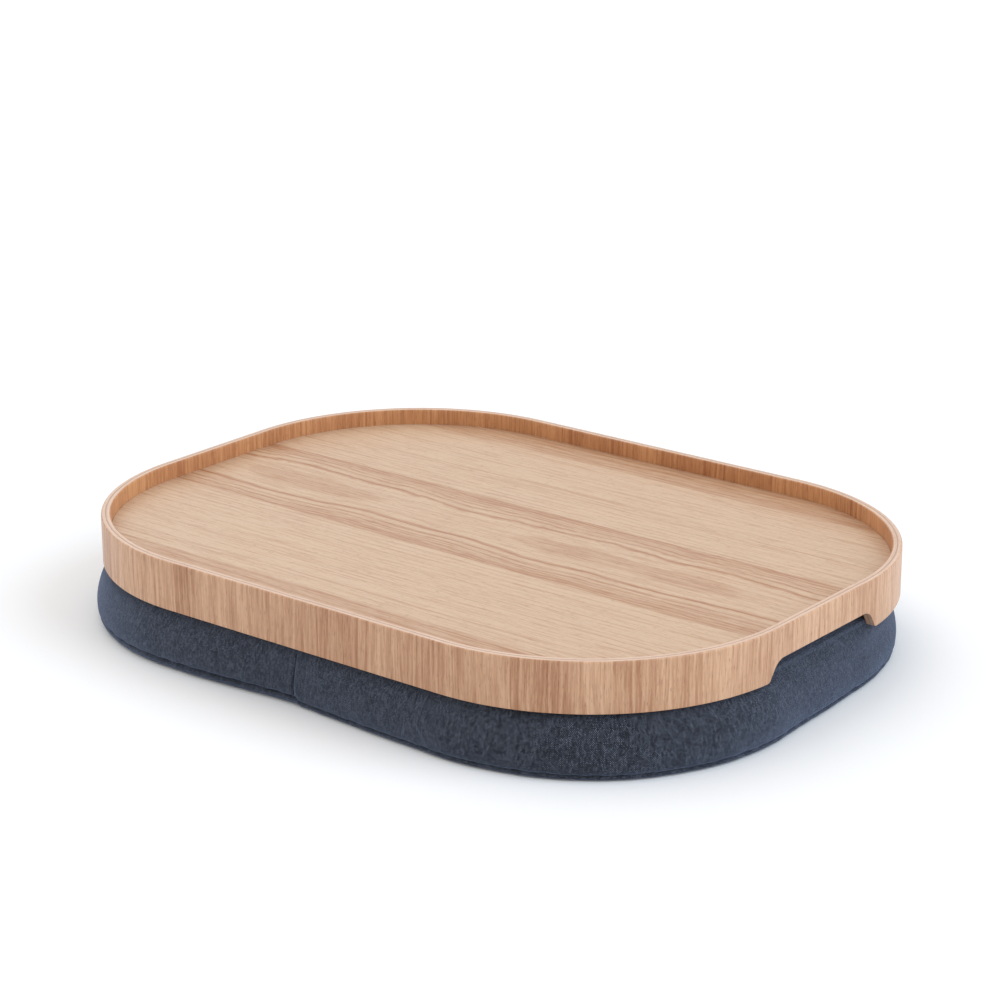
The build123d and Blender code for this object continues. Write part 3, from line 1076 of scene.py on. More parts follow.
@dataclass
class Tray:
    """The bent laminated rim and the panel in it."""

    finishes: Finishes
    notch: Notch = Notch()
    veneer: float = 0.6 * MM
    ply: float = 1.7 * MM
    cross: float = 0.7 * MM
    groove_gap: float = 0.1 * MM
    glue_line: float = 0.02 * MM
    outer_arris: float = 1.0 * MM
    inner_arris: float = 0.7 * MM
    lower_arris: float = 0.35 * MM
    corner_radius: float = 121 * MM
    still_above: float = 1.0 * MM
    crest_band: float = 0.5 * MM
    step: float = 2.2 * MM
    fine_step: float = 0.4 * MM
    fine_reach: float = 9 * MM
    crest_points: int = 9
    sharp: float = 35.0

    def __post_init__(self) -> None:
        """Reads the rim's size from the frame."""
        low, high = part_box("rim_outer_veneer")
        self.base, self.top = low.z, high.z
        self.outline = Outline(high.x, high.y, self.corner_radius)
        self.wall = 2 * self.veneer + 2 * self.ply + self.cross
        core_low, core_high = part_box("panel_core")
        self.groove = (core_low.z - self.groove_gap, core_high.z + self.groove_gap)
        self.groove_depth = high.x - core_high.x - self.groove_gap
        self.arc = self.outline.stations(self.step, self.fine_step, self._near_notch)

    def _at_ends(self, x: Array) -> Array:
        """Whether a place is at one of the short ends, where the notches are."""
        return np.abs(x) > self.outline.half_length / 2

    def _near_notch(self, x: Array, y: Array) -> Array:
        """Is 1 beside the slanted sides of the notches."""
        middle = (self.notch.foot_half + self.notch.head_half) / 2
        return np.where((abs(abs(y) - middle) < self.fine_reach) & self._at_ends(x), 1.0, 0.0)

    def top_at(self, depth: Array) -> Array:
        """Height of the rim's top: flat, with an arc at each arris.

        Args:
            depth: Depths in from the outside.

        Returns:
            Heights.
        """
        outer = np.clip(self.outer_arris - depth, 0, self.outer_arris)
        inner = np.clip(depth - self.wall + self.inner_arris, 0, self.inner_arris)
        drop = self.outer_arris - np.sqrt(self.outer_arris**2 - outer**2)
        return self.top - drop - self.inner_arris + np.sqrt(self.inner_arris**2 - inner**2)

    def base_at(self, depth: Array) -> Array:
        """Height of the rim's underside: flat, with a small arc at each arris.

        Args:
            depth: Depths in from the outside.

        Returns:
            Heights.
        """
        edge = np.minimum(depth, self.wall - depth)
        across = np.clip(self.lower_arris - edge, 0, self.lower_arris)
        return self.base + self.lower_arris - np.sqrt(self.lower_arris**2 - across**2)

    def profile(self, layer: Layer) -> tuple[Array, Array, Array]:
        """A layer's profile: up its outer face, over its top, down its inner face and back below.

        Args:
            layer: The layer.

        Returns:
            Depths, heights, and 1 at the points that rise with the notch.
        """
        outside, inside = layer.outside, layer.inside - self.glue_line
        whole = layer.low is None
        turn = (1 - np.cos(np.linspace(0, math.pi, self.crest_points))) / 2
        depth = outside + (inside - outside) * turn
        crest = self.top_at(depth) if layer.high is None else np.full_like(depth, layer.high)
        floor = self.base_at(depth) if whole else np.full_like(depth, layer.low)
        still = self.base + self.notch.height + self.still_above
        outer = np.array([still, crest[0] - self.crest_band] if whole else [(layer.low + crest[0]) / 2])
        inner, inner_depth = outer[::-1], np.full(len(outer), inside)
        if outside < self.groove_depth < inside:
            under, over = self.groove
            deep = self.groove_depth
            inner = np.array([crest[-1] - self.crest_band, over, over, under, under, still])
            inner_depth = np.array([inside, inside, deep, deep, inside, inside])
        depths = np.concatenate([np.full(len(outer), outside), depth, inner_depth, depth[::-1]])
        heights = np.concatenate([outer, crest, inner, floor[::-1]])
        rising = np.zeros(len(heights))
        rising[-len(floor):] = float(whole)
        return depths, heights, rising

    def bend(self, layer: Layer) -> None:
        """Makes one layer of the rim: its profile carried round the outline, mapped by arclength.

        Args:
            layer: The layer.
        """
        depths, heights, rising = self.profile(layer)
        shape = (len(self.arc), len(heights))
        out, level = (np.broadcast_to(a, shape) for a in (-depths, heights))
        points = self.outline.carry(self.arc, out, level, np.ones(shape))
        points[..., 2] += self.notch.lift(points[..., 1]) * rising * self._at_ends(points[..., 0])
        along = np.append(self.arc, self.outline.perimeter())[:, None]
        over = np.pad(points[..., 2] + depths, ((0, 1), (0, 1)), "wrap")
        uv = np.stack([np.broadcast_to(along, over.shape), over], -1)
        piece = mesh_piece(layer.name + "_bent", points, Lattice(*shape, closed_columns=True), uv)
        piece.data.set_sharp_from_angle(angle=math.radians(self.sharp))
        settle(piece, Body.TRAY, layer.slot, self.finishes[layer.finish], layer.name)

    def build(self) -> None:
        """Makes the rim's layers from the outside inwards and dresses the panel."""
        e = np.cumsum([0, self.veneer, self.ply, self.cross, self.ply, self.veneer])
        under, over = self.groove
        layers = (
            Layer("rim_outer_veneer", e[0], e[1], "rim_veneer", "rim"),
            Layer("rim_outer_ply", e[1], e[2], "ply", "ply"),
            Layer("rim_cross_ply", e[2], e[3], "cross_ply", "cross"),
            Layer("rim_inner_ply", e[3], e[4], "ply", "ply"),
            # The inner veneers take the wall finish, whose colours hold painted shade and painted warm
            # reflected light.
            Layer("rim_inner_veneer_upper", e[4], e[5], "rim_veneer", "wall", low=over),
            Layer("rim_inner_veneer_lower", e[4], e[5], "rim_veneer", "wall", high=under),
        )
        for layer in layers:
            self.bend(layer)
        for name, key in (("top_veneer", "panel"), ("bottom_veneer", "panel"), ("core", "core")):
            dress("panel_" + name, self.finishes[key])


# The cushion


@dataclass(frozen=True)
class Puff:
    """A stretch where the cushion stands out further, or is drawn in, by a bell curve."""

    x: float
    y: float
    reach: float
    out: float

    def at(self, ground: Array) -> Array:
        """How far out it pushes points of the outline, by their distance from its middle."""
        return self.out * bell(np.hypot(ground[:, 0] - self.x, ground[:, 1] - self.y), self.reach)


@dataclass(frozen=True)
class Wave:
    """A sine along the outline: its height, the length over which its angle grows by 1, its phase."""

    height: float
    length: float
    phase: float

    def at(self, arc: Array) -> Array:
        """The wave at arclengths."""
        return self.height * np.sin(arc / self.length + self.phase)


class Side(Enum):
    """Knots of the cushion's section where its parts meet, counted from the underside's middle."""

    UNDERSIDE = 2
    BOTTOM_SEAM = 6
    WINDOW_LOW = 9
    WINDOW_HIGH = 13
    TUCK = 16
    TOP_SEAM = 18
    CROWN = 22


@dataclass(frozen=True)
class Section:
    """The cushion's section as knots: how far out from the tray's outline, and how high.

    It runs from the middle of the underside to the middle of the top, in millimetres. The first two
    stretches and the last two shrink towards the middle. The zip's form has the band as an arc.
    """

    shrink: tuple = (0, 0.5) + (1,) * 21 + (0.5, 0)
    out: tuple = (
        -14, -14, -14, -3.2, 1.2, 3.0, 3.8, 4.3, 4.5, 4.1, 3.2, 2.0, 0.6, -0.9, -2.6, -4.4, -5.6, -5.7,
        -6.4, -9.0, -14, -25, -45, -45, -45,
    )
    high: tuple = (
        0, 0, 0, 0.05, 0.7, 2.4, 4.9, 7.4, 10.2, 13.4, 16.8, 20.2, 23.6, 26.6, 29.2, 31.2, 32.9, 34.6,
        36.0, 36.6, 37.4, 39.8, 42.5, 42.5, 42.5,
    )
    zip_foot_knot: int = 3
    zip_foot_out: tuple = (-7.0, -2.2, 0.6)
    zip_high_knot: int = 5
    zip_high: tuple = (2.6, 5.5, 8.2, 10.9, 12.75, 15.4, 18.0, 20.6, 23.25, 27.2, 31.0, 32.9)
    band_radius: float = 30.0
    band_out: float = -27.824
    band_high: float = 11.523

    def zip_form(self) -> tuple[Array, Array]:
        """Forms the knots at the zip: the band's follow a circle from seam to tuck.

        Returns:
            How far out the knots are, and how high.
        """
        out, high = np.array(self.out, float), np.array(self.high, float)
        high[self.zip_high_knot:self.zip_high_knot + len(self.zip_high)] = self.zip_high
        out[self.zip_foot_knot:self.zip_foot_knot + len(self.zip_foot_out)] = self.zip_foot_out
        band = slice(Side.BOTTOM_SEAM.value, Side.TUCK.value)
        out[band] = self.band_out + np.sqrt(self.band_radius**2 - (high[band] - self.band_high) ** 2)
        return out, high

    def read(self, share: Array) -> list[Array]:
        """Reads the section at places along it, by a smooth curve through the knots.

        Args:
            share: Places, counted in knots.

        Returns:
            Shrink, out and height, and out and height at the zip.
        """
        knots = np.arange(len(self.out), dtype=float)
        sides = [np.array(self.out, float), np.array(self.high, float), *self.zip_form()]
        return [np.interp(share, knots, self.shrink)] + [hermite(share, knots, s) * MM for s in sides]


@dataclass(frozen=True)
class Trial:
    """The cloth simulation that swells the cover: its table, its cloth, and how it is evened out."""

    rows: int = 300
    columns: int = 46
    frames: int = 20
    hold_levels: int = 10
    quality: int = 6
    mass: float = 0.3
    stretch: float = 30
    shear: float = 12
    bend: float = 0.6
    pressure: float = 4
    most: float = 5 * MM
    even_waves: float = 16
    even_share: float = 0.88

    def run(self, start: Array, held: Array) -> Array:
        """Simulates air pressure inside the cover, without gravity.

        Args:
            start: Table of points.
            held: How firmly each is held, 0 to 1.

        Returns:
            How far each point moves.
        """
        scene = bpy.context.scene
        piece = mesh_piece("cushion_trial", start, Lattice(self.rows, self.columns))
        hold = piece.vertex_groups.new(name="held")
        levels = np.round(held.ravel() * self.hold_levels).astype(int)
        for level in range(self.hold_levels + 1):
            hold.add(np.flatnonzero(levels == level).tolist(), level / self.hold_levels, "REPLACE")
        cloth = piece.modifiers.new("cloth", "CLOTH").settings
        cloth.quality = self.quality
        cloth.mass = self.mass
        cloth.tension_stiffness = cloth.compression_stiffness = self.stretch
        cloth.shear_stiffness = self.shear
        cloth.bending_stiffness = self.bend
        cloth.vertex_group_mass = hold.name
        cloth.use_pressure = True
        cloth.uniform_pressure_force = self.pressure
        cloth.effector_weights.gravity = 0
        for number in range(1, self.frames + 1):
            scene.frame_set(number)
        moved = np.empty(start.size, np.float32)
        swollen = piece.evaluated_get(bpy.context.evaluated_depsgraph_get())
        swollen.data.vertices.foreach_get("co", moved)
        scene.frame_set(1)
        bpy.data.objects.remove(piece)
        return moved.reshape(start.shape) - start

    def evened(self, shift: Array) -> Array:
        """Caps the movement and evens it out along the outline by a sum of its first waves.

        Args:
            shift: Movement of each point.

        Returns:
            The same table, evened out.
        """
        far = np.linalg.norm(shift, axis=-1, keepdims=True)
        LOG.info("the cloth moved by up to %.1f mm", far.max() / MM)
        shift = shift * np.minimum(1, self.most / np.maximum(far, 1e-9))
        waves = np.fft.rfft(shift, axis=0)
        kept = np.exp(-((np.arange(len(waves)) / self.even_waves) ** 2))
        even = np.fft.irfft(waves * kept[:, None, None], len(shift), axis=0)
        return self.even_share * even + (1 - self.even_share) * shift


@dataclass
class Cushion:
    """The bead cushion: its cover in sewn panels, the liner and the filling.

    Stretches of the section are counted in its knots.
    """

    finishes: Finishes
    outline: Outline
    section: Section = Section()
    trial: Trial = Trial()
    front_seam_x: float = -4 * MM
    zip_half: float = 90 * MM
    cover: float = 1.0 * MM
    liner_gap: float = 1.2 * MM
    beads_gap: float = 1.7 * MM

    pocket_depth: float = 2.4 * MM
    pocket_ends: tuple = (2 * MM, 12 * MM)
    pocket_stretch: tuple = ((7.2, 8.5), (13.5, 14.8))
    crease_depth: float = 1.3 * MM
    crease_width: float = 0.6 * MM
    crease_knots: float = 0.28
    crease_band: tuple = ((6, 7), (17, 18))
    top_share: float = 0.5
    upright_share: float = 0.6
    stitch: float = 3.6 * MM
    pucker: float = 0.25
    slack: float = 0.9
    slack_before: float = 45 * MM
    slack_reach: float = 32 * MM
    seam_drop: float = 1.9 * MM
    drop_length: float = 4 * MM
    drop_knots: float = 1.1

    puffs: tuple[Puff, ...] = (
        Puff(-4 * MM, -162 * MM, 28 * MM, -4.0 * MM),
        Puff(178 * MM, -128 * MM, 52 * MM, 4.2 * MM),
        Puff(200 * MM, 92 * MM, 62 * MM, -6.0 * MM),
        Puff(-110 * MM, -160 * MM, 40 * MM, 0.6 * MM),
    )
    waves: tuple[Wave, ...] = (Wave(0.18 * MM, 13 * MM, 0.7), Wave(0.108 * MM, 7.1 * MM, 2.1))
    free_stretch: tuple = ((2, 4), (10, 16))
    ripple_height: float = 0.16 * MM
    ripple_length: float = 2.3 * MM
    ripple_swing: Wave = Wave(1.8, 17 * MM, 0.0)
    ripple_knots: float = 1.4
    zip_blend: tuple = (100 * MM, 190 * MM)
    held_zip: tuple = (96 * MM, 130 * MM)
    held_foot: tuple = (3.2, 5.2)
    held_tuck: tuple = (14.5, 16.5)

    step: float = 2.8 * MM
    fine_step: float = 0.7 * MM
    fine_reach: float = 4 * MM
    knot_points: float = 3.6
    seam_points: float = 9.0
    seam_knots: float = 0.5

    def __post_init__(self) -> None:
        """Lays out the stations round the outline and the places along the section."""
        outline, perimeter = self.outline, self.outline.perimeter()
        self.front = outline.knots()[4] + outline.half_length - outline.radius + self.front_seam_x
        self.marks = (self.zip_half, self.front, perimeter - self.zip_half)
        self.arc = outline.stations(self.step, self.fine_step, self._near_seam, self.marks)
        self.share = self._shares()

    def _near_seam(self, x: Array, y: Array) -> Array:
        """Is near 1 beside the upright front seam."""
        return bell(x - self.front_seam_x, self.fine_reach) * (y < 0)

    def _shares(self) -> Array:
        """Spaces places along the section, closer together beside the seams.

        Returns:
            Places counted in knots, with each panel's edge among them.
        """
        trials = 6001
        fine = np.linspace(0, len(self.section.out) - 1, trials)
        near = sum(bell(fine - s.value, self.seam_knots) for s in (Side.BOTTOM_SEAM, Side.TOP_SEAM))
        return space_out(fine, self.knot_points + self.seam_points * near, [s.value for s in Side])

    def _from_zip(self, arc: Array) -> Array:
        """Distance along the outline from the middle of the rear side, as a column."""
        return np.minimum(arc, self.outline.perimeter() - arc)[:, None]

    def form(self, arc: Array, share: Array) -> Array:
        """Forms the cushion's surface before it swells.

        The photographed section turns into the zip's along the rear. The puffs and two slow waves
        push its side out or in: fully at half height, and not at all at the foot and the tuck. Short
        ripples gather the cloth at the bottom seam, which lies lower right of the upright front seam.

        Args:
            arc: Stations.
            share: Places along the section.

        Returns:
            Table of points.
        """
        shrink, out, high, zip_out, zip_high = (a[None, :] for a in self.section.read(share))
        rear = 1 - smooth_step(self._from_zip(arc), *self.zip_blend)
        seam = share - Side.BOTTOM_SEAM.value
        ground = self.outline.edge(arc)
        push = sum(p.at(ground) for p in self.puffs) + sum(w.at(arc) for w in self.waves)
        ripple = self.ripple_height * np.sin(arc / self.ripple_length + self.ripple_swing.at(arc))
        gathered = np.exp(-np.abs(seam) / self.ripple_knots)
        moved = push[:, None] * between(share, *self.free_stretch) + ripple[:, None] * gathered
        stand = out * (1 - rear) + zip_out * rear + moved * (1 - rear)
        right = smooth_step(arc, self.front, self.front + self.drop_length)[:, None]
        lower = self.seam_drop * right * (1 - rear) * bell(seam, self.drop_knots)
        height = high * (1 - rear) + zip_high * rear - lower
        scale = np.broadcast_to(shrink, stand.shape)
        return self.outline.carry(arc, stand, np.maximum(height, 0), scale)

    def _held(self, arc: Array, share: Array) -> Array:
        """How firmly the trial cloth is held: the underside, the part inside the rim and the zip.

        Args:
            arc: Stations.
            share: Places along the section.

        Returns:
            Table of 0 to 1.
        """
        foot = 1 - smooth_step(share, *self.held_foot)
        edges = np.maximum(foot, smooth_step(share, *self.held_tuck))
        return np.maximum(edges, 1 - smooth_step(self._from_zip(arc), *self.held_zip))

    def swell(self) -> Array:
        """Works out how far air pressure moves the cover, from a trial on a coarser table.

        Returns:
            A shift for each station and each place along the section, by straight lines.
        """
        perimeter = self.outline.perimeter()
        arc = np.arange(self.trial.rows) * perimeter / self.trial.rows
        share = np.linspace(Side.UNDERSIDE.value, Side.TOP_SEAM.value + 1, self.trial.columns)
        shift = self.trial.evened(self.trial.run(self.form(arc, share), self._held(arc, share)))
        closed = np.concatenate([shift, shift[:1]])
        across = resample(closed, share, self.share, 1)
        return resample(across, np.append(arc, perimeter), self.arc, 0)

    def normals(self, points: Array) -> Array:
        """Outward normals: the cross product of the ways round and along, upright near the poles.

        Args:
            points: The whole surface.

        Returns:
            Unit vectors.
        """
        around = np.roll(points, -1, 0) - np.roll(points, 1, 0)
        normal = np.cross(around, np.gradient(points, axis=1))
        way = np.where(self.share < Side.BOTTOM_SEAM.value, -1.0, 1.0)
        level = way[None, :, None] * np.array([0, 0, 1.0])
        flat = (self.share < Side.UNDERSIDE.value) | (self.share > Side.CROWN.value)
        normal = np.where(flat[None, :, None], level, normal)
        return normal / np.maximum(np.linalg.norm(normal, axis=-1, keepdims=True), 1e-12)

    def creases(self) -> Array:
        """Depth of the seams: it dies away evenly on both sides, and is deeper between two stitches.

        The bottom seam is slack, and so up to twice as deep, left of the upright front seam.

        Returns:
            Table of depths.
        """
        share, along = self.share, self.arc - self.front
        pucker = 1 + self.pucker * np.cos(self.arc * 2 * math.pi / self.stitch)[:, None]
        seams = (Side.BOTTOM_SEAM, Side.TOP_SEAM)
        low, high = (np.exp(-np.abs(share - s.value) / self.crease_knots) for s in seams)
        slack = 1 + self.slack * bell(along + self.slack_before, self.slack_reach)[:, None]
        upright = self.upright_share * np.exp(-np.abs(along) / self.crease_width)[:, None]
        level = low * slack * pucker + high * self.top_share * pucker
        return self.crease_depth * np.maximum(level, upright * between(share, *self.crease_band))

    def pocket(self) -> Array:
        """How much deeper the liner lies behind the zip: fully under its tape, easing out round it.

        Returns:
            Table of depths.
        """
        from_end = self._from_zip(self.arc) - self.zip_half
        along = 1 - smooth_step(from_end, *self.pocket_ends)
        return self.pocket_depth * along * between(self.share, *self.pocket_stretch)

    def unrolled(self, points: Array, columns: tuple[int, int], flat: int, outwards: int) -> Array:
        """Map of the top or bottom panel as it was cut: flat places, then lengths outwards from them.

        Args:
            points: The whole surface.
            columns: First and last column of the panel.
            flat: The column where its flat part ends.
            outwards: 1 where the seam's column comes after that, and -1 where it comes before.

        Returns:
            Flat places, with the first row once more at the end.
        """
        lengths = np.linalg.norm(np.diff(points, axis=1), axis=-1)
        total = np.concatenate([np.zeros((len(points), 1)), np.cumsum(lengths, 1)], 1)
        beyond = np.abs(total - total[:, flat:flat + 1])
        side = (np.arange(points.shape[1]) - flat) * outwards > 0
        normal = self.outline.normal(self.arc)[:, None, :]
        cut = points[:, flat:flat + 1, :2] + normal * beyond[..., None]
        table = np.where(side[None, :, None], cut, points[..., :2])[:, columns[0]:columns[1] + 1]
        return np.concatenate([table, table[:1]])

    def measured(self, part: Array, start: float) -> Array:
        """Map of a band: lengths round, from a start, and lengths across.

        Args:
            part: The band's points.
            start: Arclength of its first row.

        Returns:
            Flat places.
        """
        steps = np.linalg.norm(np.diff(part, axis=0)[:, 0, :2], axis=-1)
        along = start + np.concatenate([[0], np.cumsum(steps)])
        lengths = np.linalg.norm(np.diff(part, axis=1), axis=-1).mean(0)
        across = np.concatenate([[0], np.cumsum(lengths)])
        return np.stack(np.meshgrid(along, across, indexing="ij"), -1)

    def panel(self, name: str, part: Array, uv: Array, lattice: Lattice, stands_for: str) -> None:
        """One sewn panel of the cover, with the cloth's thickness inwards.

        Args:
            name: The piece's name.
            part: Its points, cut from the surface along its seams.
            uv: Its map.
            lattice: Its faces.
            stands_for: The CAD node that it replaces.
        """
        piece = mesh_piece(name, part, lattice, uv)
        cloth = piece.modifiers.new("thickness", "SOLIDIFY")
        cloth.thickness = self.cover
        cloth.offset = -1
        settle(piece, Body.CUSHION, "cover_fabric", self.finishes["cover"], stands_for)

    def inner(self, name: str, inside: Array, slot: str, finish: str, stands_for: str) -> None:
        """A closed inner surface, mapped flat with its height added outwards.

        Args:
            name: The piece's name.
            inside: Its points.
            slot: Its material slot.
            finish: Its material's key.
            stands_for: The CAD node that it replaces.
        """
        inside[:, [0, -1]] = inside[:, [0, -1]].mean(0)
        lattice = Lattice(*inside.shape[:2], first_pole=True, last_pole=True)
        closed = np.concatenate([inside, inside[:1]])
        normal = self.outline.normal(self.arc)
        uv = closed[..., :2] + closed[..., 2:] * np.append(normal, normal[:1], 0)[:, None, :]
        piece = mesh_piece(name, inside, lattice, uv)
        settle(piece, Body.CUSHION, slot, self.finishes[finish], stands_for)

    def build(self) -> None:
        """Makes the cover's panels, the liner and the filling."""
        plain = self.form(self.arc, self.share)
        plain = plain + self.swell()
        creases = self.creases()
        points = plain - self.normals(plain) * creases[..., None]
        points[..., 2] = np.maximum(points[..., 2], 0)
        column = {side: int(np.argmin(abs(self.share - side.value))) for side in Side}
        seam, top = column[Side.BOTTOM_SEAM], column[Side.TOP_SEAM]
        rows, last = len(self.arc), points.shape[1] - 1
        for name, ends, flat, outwards in (
            ("bottom", (0, seam), column[Side.UNDERSIDE], 1),
            ("top", (top, last), column[Side.CROWN], -1),
        ):
            part = points[:, ends[0]:ends[1] + 1]
            poles = {"first_pole": ends[0] == 0, "last_pole": ends[1] == last}
            uv = self.unrolled(points, ends, flat, outwards)
            lattice = Lattice(*part.shape[:2], **poles)
            self.panel("cover_" + name, part, uv, lattice, f"cover_{name}_panel")
        start, front, end = (int(np.argmin(abs(self.arc - m))) for m in self.marks)
        number = np.arange(rows)
        rear = np.concatenate([number[end:], number[:start + 1]])
        for name, at, low, high, stands_for in (
            ("cover_band_left", number[start:front + 1], seam, top, "cover_left_band"),
            ("cover_band_right", number[front:end + 1], seam, top, "cover_right_band"),
            ("zip_strip_lower", rear, seam, column[Side.WINDOW_LOW], "zip_band_lower"),
            ("zip_strip_upper", rear, column[Side.WINDOW_HIGH], top, "zip_band_upper"),
        ):
            part = points[at, low:high + 1]
            uv = self.measured(part, self.arc[at[0]])
            self.panel(name, part, uv, Lattice(*part.shape[:2], closed_rows=False), stands_for)
        normals, sunk = self.normals(plain), creases + self.pocket()
        for name, gap, slot, finish, stands_for in (
            ("liner_bag", self.liner_gap, "liner_cloth", "liner", "cushion_liner"),
            ("bead_fill", self.beads_gap, "beads", "beads", "bead_filling"),
        ):
            inside = plain - normals * (sunk + gap)[..., None]
            self.inner(name, inside, slot, finish, stands_for)


@dataclass
class Fittings:
    """Pads and zip. What is cloth gets pieces of its own, and the rest keeps its solids."""

    finishes: Finishes
    pad_length: float = 60 * MM
    pad_width: float = 25 * MM
    pad_corner: float = 3 * MM
    nap: float = 0.06 * MM
    nap_lengths: tuple = (0.5 * MM, 0.43 * MM)
    face_edge: float = 0.01 * MM
    zip_height: float = 18 * MM
    zip_stand: float = 163.995 * MM
    zip_lean: float = 12.5
    tape_face: float = -2.137 * MM
    tape_thick: float = 0.6 * MM
    tape_half: float = 7.5 * MM
    tape_gap: float = 0.12 * MM
    slab_step: float = 1.2 * MM
    slab_rings: int = 13
    edge_points: int = 7

    def slab(self, length: float, width: float, thick: float, corner: float) -> tuple[Array, Lattice]:
        """A thin slab with rounded corners, as rings from the middle of its underside to its top's.

        A ring is the slab's outline shrunk towards the middle, and the edge is half a circle.

        Args:
            length: Its length.
            width: Its width.
            thick: Its thickness.
            corner: Radius of its corners.

        Returns:
            Its points and its faces.
        """
        outline = Outline(length / 2, width / 2, corner)
        arc = outline.stations(self.slab_step, self.slab_step, lambda x, y: 0 * x)
        turn = np.linspace(-math.pi / 2, math.pi / 2, self.edge_points)
        rings = self.slab_rings
        inward = np.linspace(0, 1, rings, endpoint=False)
        shrink = np.concatenate([inward, np.ones(self.edge_points), inward[::-1]])
        out = np.pad(thick / 2 * (np.cos(turn) - 1), rings, "edge")
        high = np.pad(thick / 2 * (1 + np.sin(turn)), rings, "edge")
        shape = (len(arc), len(shrink))
        out, high, shrink = (np.broadcast_to(a, shape) for a in (out, high, shrink))
        return outline.carry(arc, out, high, shrink), Lattice(*shape, first_pole=True, last_pole=True)

    def loop_pads(self) -> None:
        """Makes four pads of loop tape, each with a nap that two crossed sines lift."""
        low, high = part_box("loop_pads")
        base, lattice = self.slab(self.pad_length, self.pad_width, high.z - low.z, self.pad_corner)
        reach = (high.x - self.pad_length / 2, high.y - self.pad_width / 2)
        for number, (side, end) in enumerate(((-1, -1), (1, -1), (1, 1), (-1, 1)), 1):
            points = base + np.array([side * reach[0], end * reach[1], low.z])
            over = np.prod(np.sin(points[..., :2] / np.array(self.nap_lengths)), -1)
            face = points[..., 2] > high.z - self.face_edge
            points[..., 2] += np.where(face, self.nap * (over - 1), 0)
            piece = mesh_piece(f"loop_pad_{number}", points, lattice)
            settle(piece, Body.CUSHION, "hook_tape", self.finishes["loops"], "loop_pads")

    def zip_tape(self, name: str, side: int) -> None:
        """One side of the zip's tape: a slab in the zip's leaning plane.

        The slab's length runs along X, its width up the plane, and its thickness out of it.

        Args:
            name: Name of the CAD node it stands for.
            side: 1 above the teeth and -1 below them.
        """
        low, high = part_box(name)
        width = self.tape_half - self.tape_gap
        points, lattice = self.slab(high.x - low.x, width, self.tape_thick, self.tape_thick / 2)
        up = points[..., 1] + side * (self.tape_gap + width / 2)
        out = points[..., 2] + self.tape_face - self.tape_thick
        lean = math.radians(self.zip_lean)
        y = self.zip_stand - up * math.sin(lean) + out * math.cos(lean)
        z = self.zip_height + up * math.cos(lean) + out * math.sin(lean)
        uv = np.stack([points[..., 0], up], -1)
        placed = np.stack([-points[..., 0], y, z], -1)
        piece = mesh_piece(name + "_cloth", placed, lattice, np.concatenate([uv, uv[:1]]))
        settle(piece, Body.CUSHION, "zip_tape", self.finishes["tape"], name)

    def build(self) -> None:
        """Makes the cloth pieces and dresses the solids."""
        self.loop_pads()
        self.zip_tape("zip_tape_lower", -1)
        self.zip_tape("zip_tape_upper", 1)
        dress("hook_pads", self.finishes["hooks"])
        for name in ("zip_teeth_lower", "zip_teeth_upper"):
            dress(name, self.finishes["teeth"])
        for name in ("zip_stops", "zip_slider", "zip_pull"):
            dress(name, self.finishes["metal"])


# The studio


def direction(azimuth: float, elevation: float) -> Vector:
    """Direction from angles in degrees: from the front towards the right, and up.

    Args:
        azimuth: The turn from the front.
        elevation: The height.

    Returns:
        A unit vector.
    """
    turn, rise = math.radians(azimuth), math.radians(elevation)
    flat = math.cos(rise)
    return Vector((math.sin(turn) * flat, -math.cos(turn) * flat, math.sin(rise)))


@dataclass(frozen=True)
class Shot:
    """The photograph's camera, worked out from the tray's rim. Angles are in degrees."""

    azimuth: float = 38.589
    elevation: float = 18.701
    roll: float = -0.102
    distance: float = 1.68818
    target: tuple[float, float, float] = (-0.068589, 0.09004, 0.0324)
    focal_pixels: float = 2846.16
    frame_pixels: float = 1000.0
    sensor_mm: float = 36.0
    nearest: float = 0.05
    farthest: float = 60

    def make(self) -> None:
        """Places the camera: it looks back along the view direction, turned by the roll."""
        roll = math.radians(self.roll)
        back = direction(self.azimuth, self.elevation)
        right = (-back).cross(Vector((0, 0, 1))).normalized()
        up = right.cross(-back)
        across = right * math.cos(roll) + up * math.sin(roll)
        upright = up * math.cos(roll) - right * math.sin(roll)
        data = bpy.data.cameras.new("camera")
        data.sensor_width = self.sensor_mm
        data.lens = self.focal_pixels * self.sensor_mm / self.frame_pixels
        data.clip_start, data.clip_end = self.nearest, self.farthest
        camera = bpy.data.objects.new("camera", data)
        bpy.context.scene.collection.objects.link(camera)
        turned = Matrix((across, upright, back)).transposed().to_4x4()
        camera.matrix_world = Matrix.Translation(Vector(self.target) + back * self.distance) @ turned
        bpy.context.scene.camera = camera


@dataclass(frozen=True)
class Lamp:
    """A far, wide and soft lamp.

    Attributes:
        name: Its name.
        azimuth: Where it stands, in degrees from the front towards the right.
        elevation: Its height in degrees.
        share: Light on a face turned to it, where the dome gives 1.
        colour: Its colour.
        spread: How wide it looks from the object, in degrees.
    """

    name: str
    azimuth: float
    elevation: float
    share: float
    colour: tuple[float, float, float] = (1, 1, 1)
    spread: float = 70

    def make(self) -> None:
        """Hangs the lamp. A dome of strength 1 gives pi watts to a square metre."""
        data = bpy.data.lights.new(self.name, "SUN")
        data.angle = math.radians(self.spread)
        data.energy = self.share * math.pi
        data.color = self.colour
        lamp = bpy.data.objects.new(self.name, data)
        bpy.context.scene.collection.objects.link(lamp)
        way = direction(self.azimuth, self.elevation)
        lamp.location = way * 2
        lamp.rotation_euler = (-way).to_track_quat("-Z", "Y").to_euler()


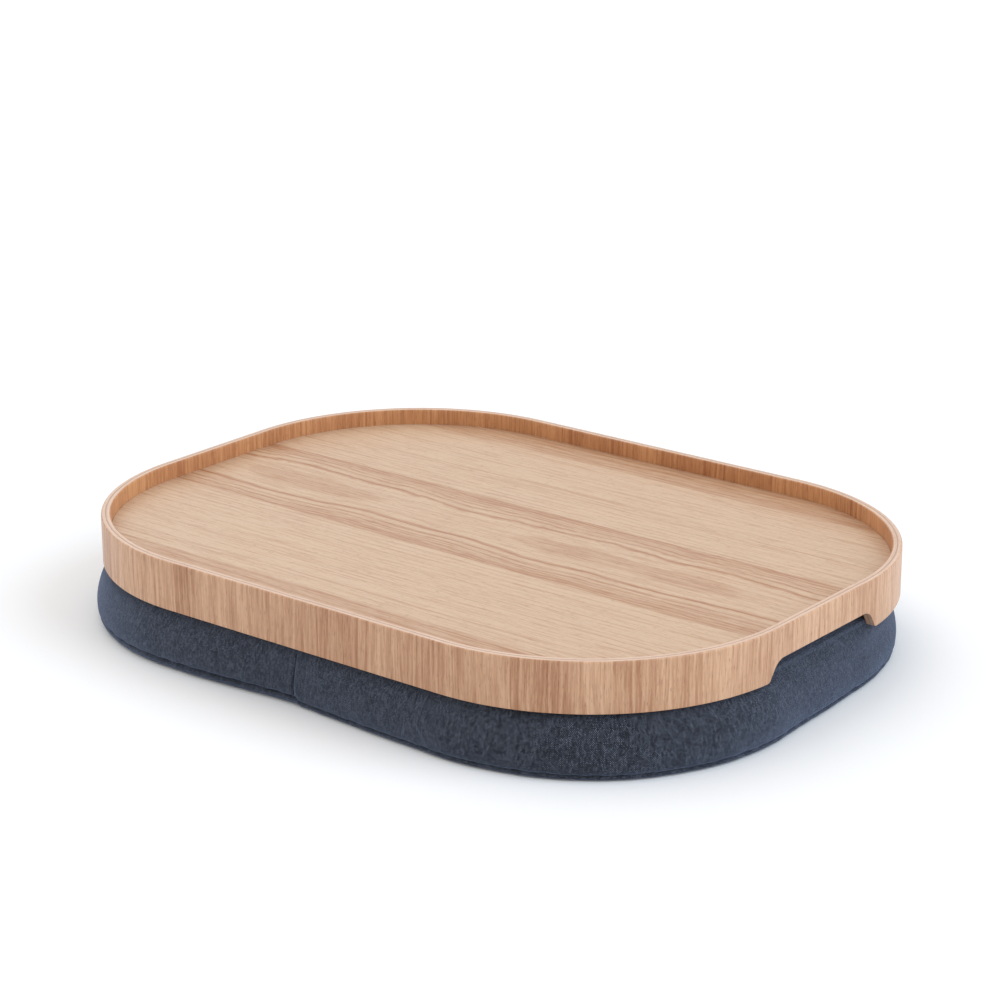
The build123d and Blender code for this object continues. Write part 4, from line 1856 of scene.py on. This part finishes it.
@dataclass(frozen=True)
class Studio:
    """White sweep, plain soft light and the camera."""

    floor_half: float = 8.0
    dome: float = 0.73
    floor_return: float = 0.80
    floor_glow: float = 0.03
    lamps: tuple[Lamp, ...] = (
        Lamp("right lamp", 110, 34, 0.41, (0.69, 0.84, 1.0), 50),
        Lamp("left lamp", 258, 50, 0.22),
    )
    shot: Shot = Shot()

    @staticmethod
    def _seen(g: Graph) -> Socket:
        """Is 1 where the camera, a reflection or a clear piece looks, and 0 for scattered light.

        Args:
            g: The graph of the world or of a material.

        Returns:
            The mask.
        """
        path = g.node("LightPath").outputs
        direct = g.math("MAXIMUM", path["Is Camera Ray"], path["Is Glossy Ray"])
        return g.math("MAXIMUM", direct, path["Is Transmission Ray"])

    def _world(self) -> None:
        """Even dome, white where it is seen."""
        world = bpy.data.worlds.new("studio")
        bpy.context.scene.world = world
        world.use_nodes = True
        g = Graph(world.node_tree)
        background = world.node_tree.nodes["Background"]
        background.inputs["Color"].default_value = WHITE
        g.put(background.inputs["Strength"], g.scale(self._seen(g), self.dome, 1.0))

    def _floor(self) -> None:
        """Pale floor, a little whiter where it is seen than in the light it returns."""
        half = self.floor_half
        x, y = np.meshgrid((-half, half), (-half, half), indexing="ij")
        floor = mesh_piece("floor", np.stack([x, y, 0 * x], -1), Lattice(2, 2, closed_rows=False))
        made = Finish("floor")
        g = made.graph
        seen = self._seen(g)
        grey = (self.floor_return,) * 3 + (1,)
        made.set(Base_Color=g.mix(seen, grey, WHITE), Roughness=1.0, Specular_IOR_Level=0.0)
        made.set(Emission_Color=WHITE, Emission_Strength=g.scale(seen, 0.0, self.floor_glow))
        floor.data.materials.append(made.material)

    def build(self) -> None:
        """Sets the stage."""
        self._world()
        self._floor()
        for lamp in self.lamps:
            lamp.make()
        self.shot.make()
        bpy.context.scene.view_settings.view_transform = "Standard"


def main() -> None:
    """Builds the object and its studio in order."""
    logging.basicConfig(level=logging.INFO, format="%(message)s")
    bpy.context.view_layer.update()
    Studio().build()
    finishes = Finishes()
    tray = Tray(finishes)
    tray.build()
    Cushion(finishes, tray.outline).build()
    Fittings(finishes).build()


if __name__ == "__main__":
    main()
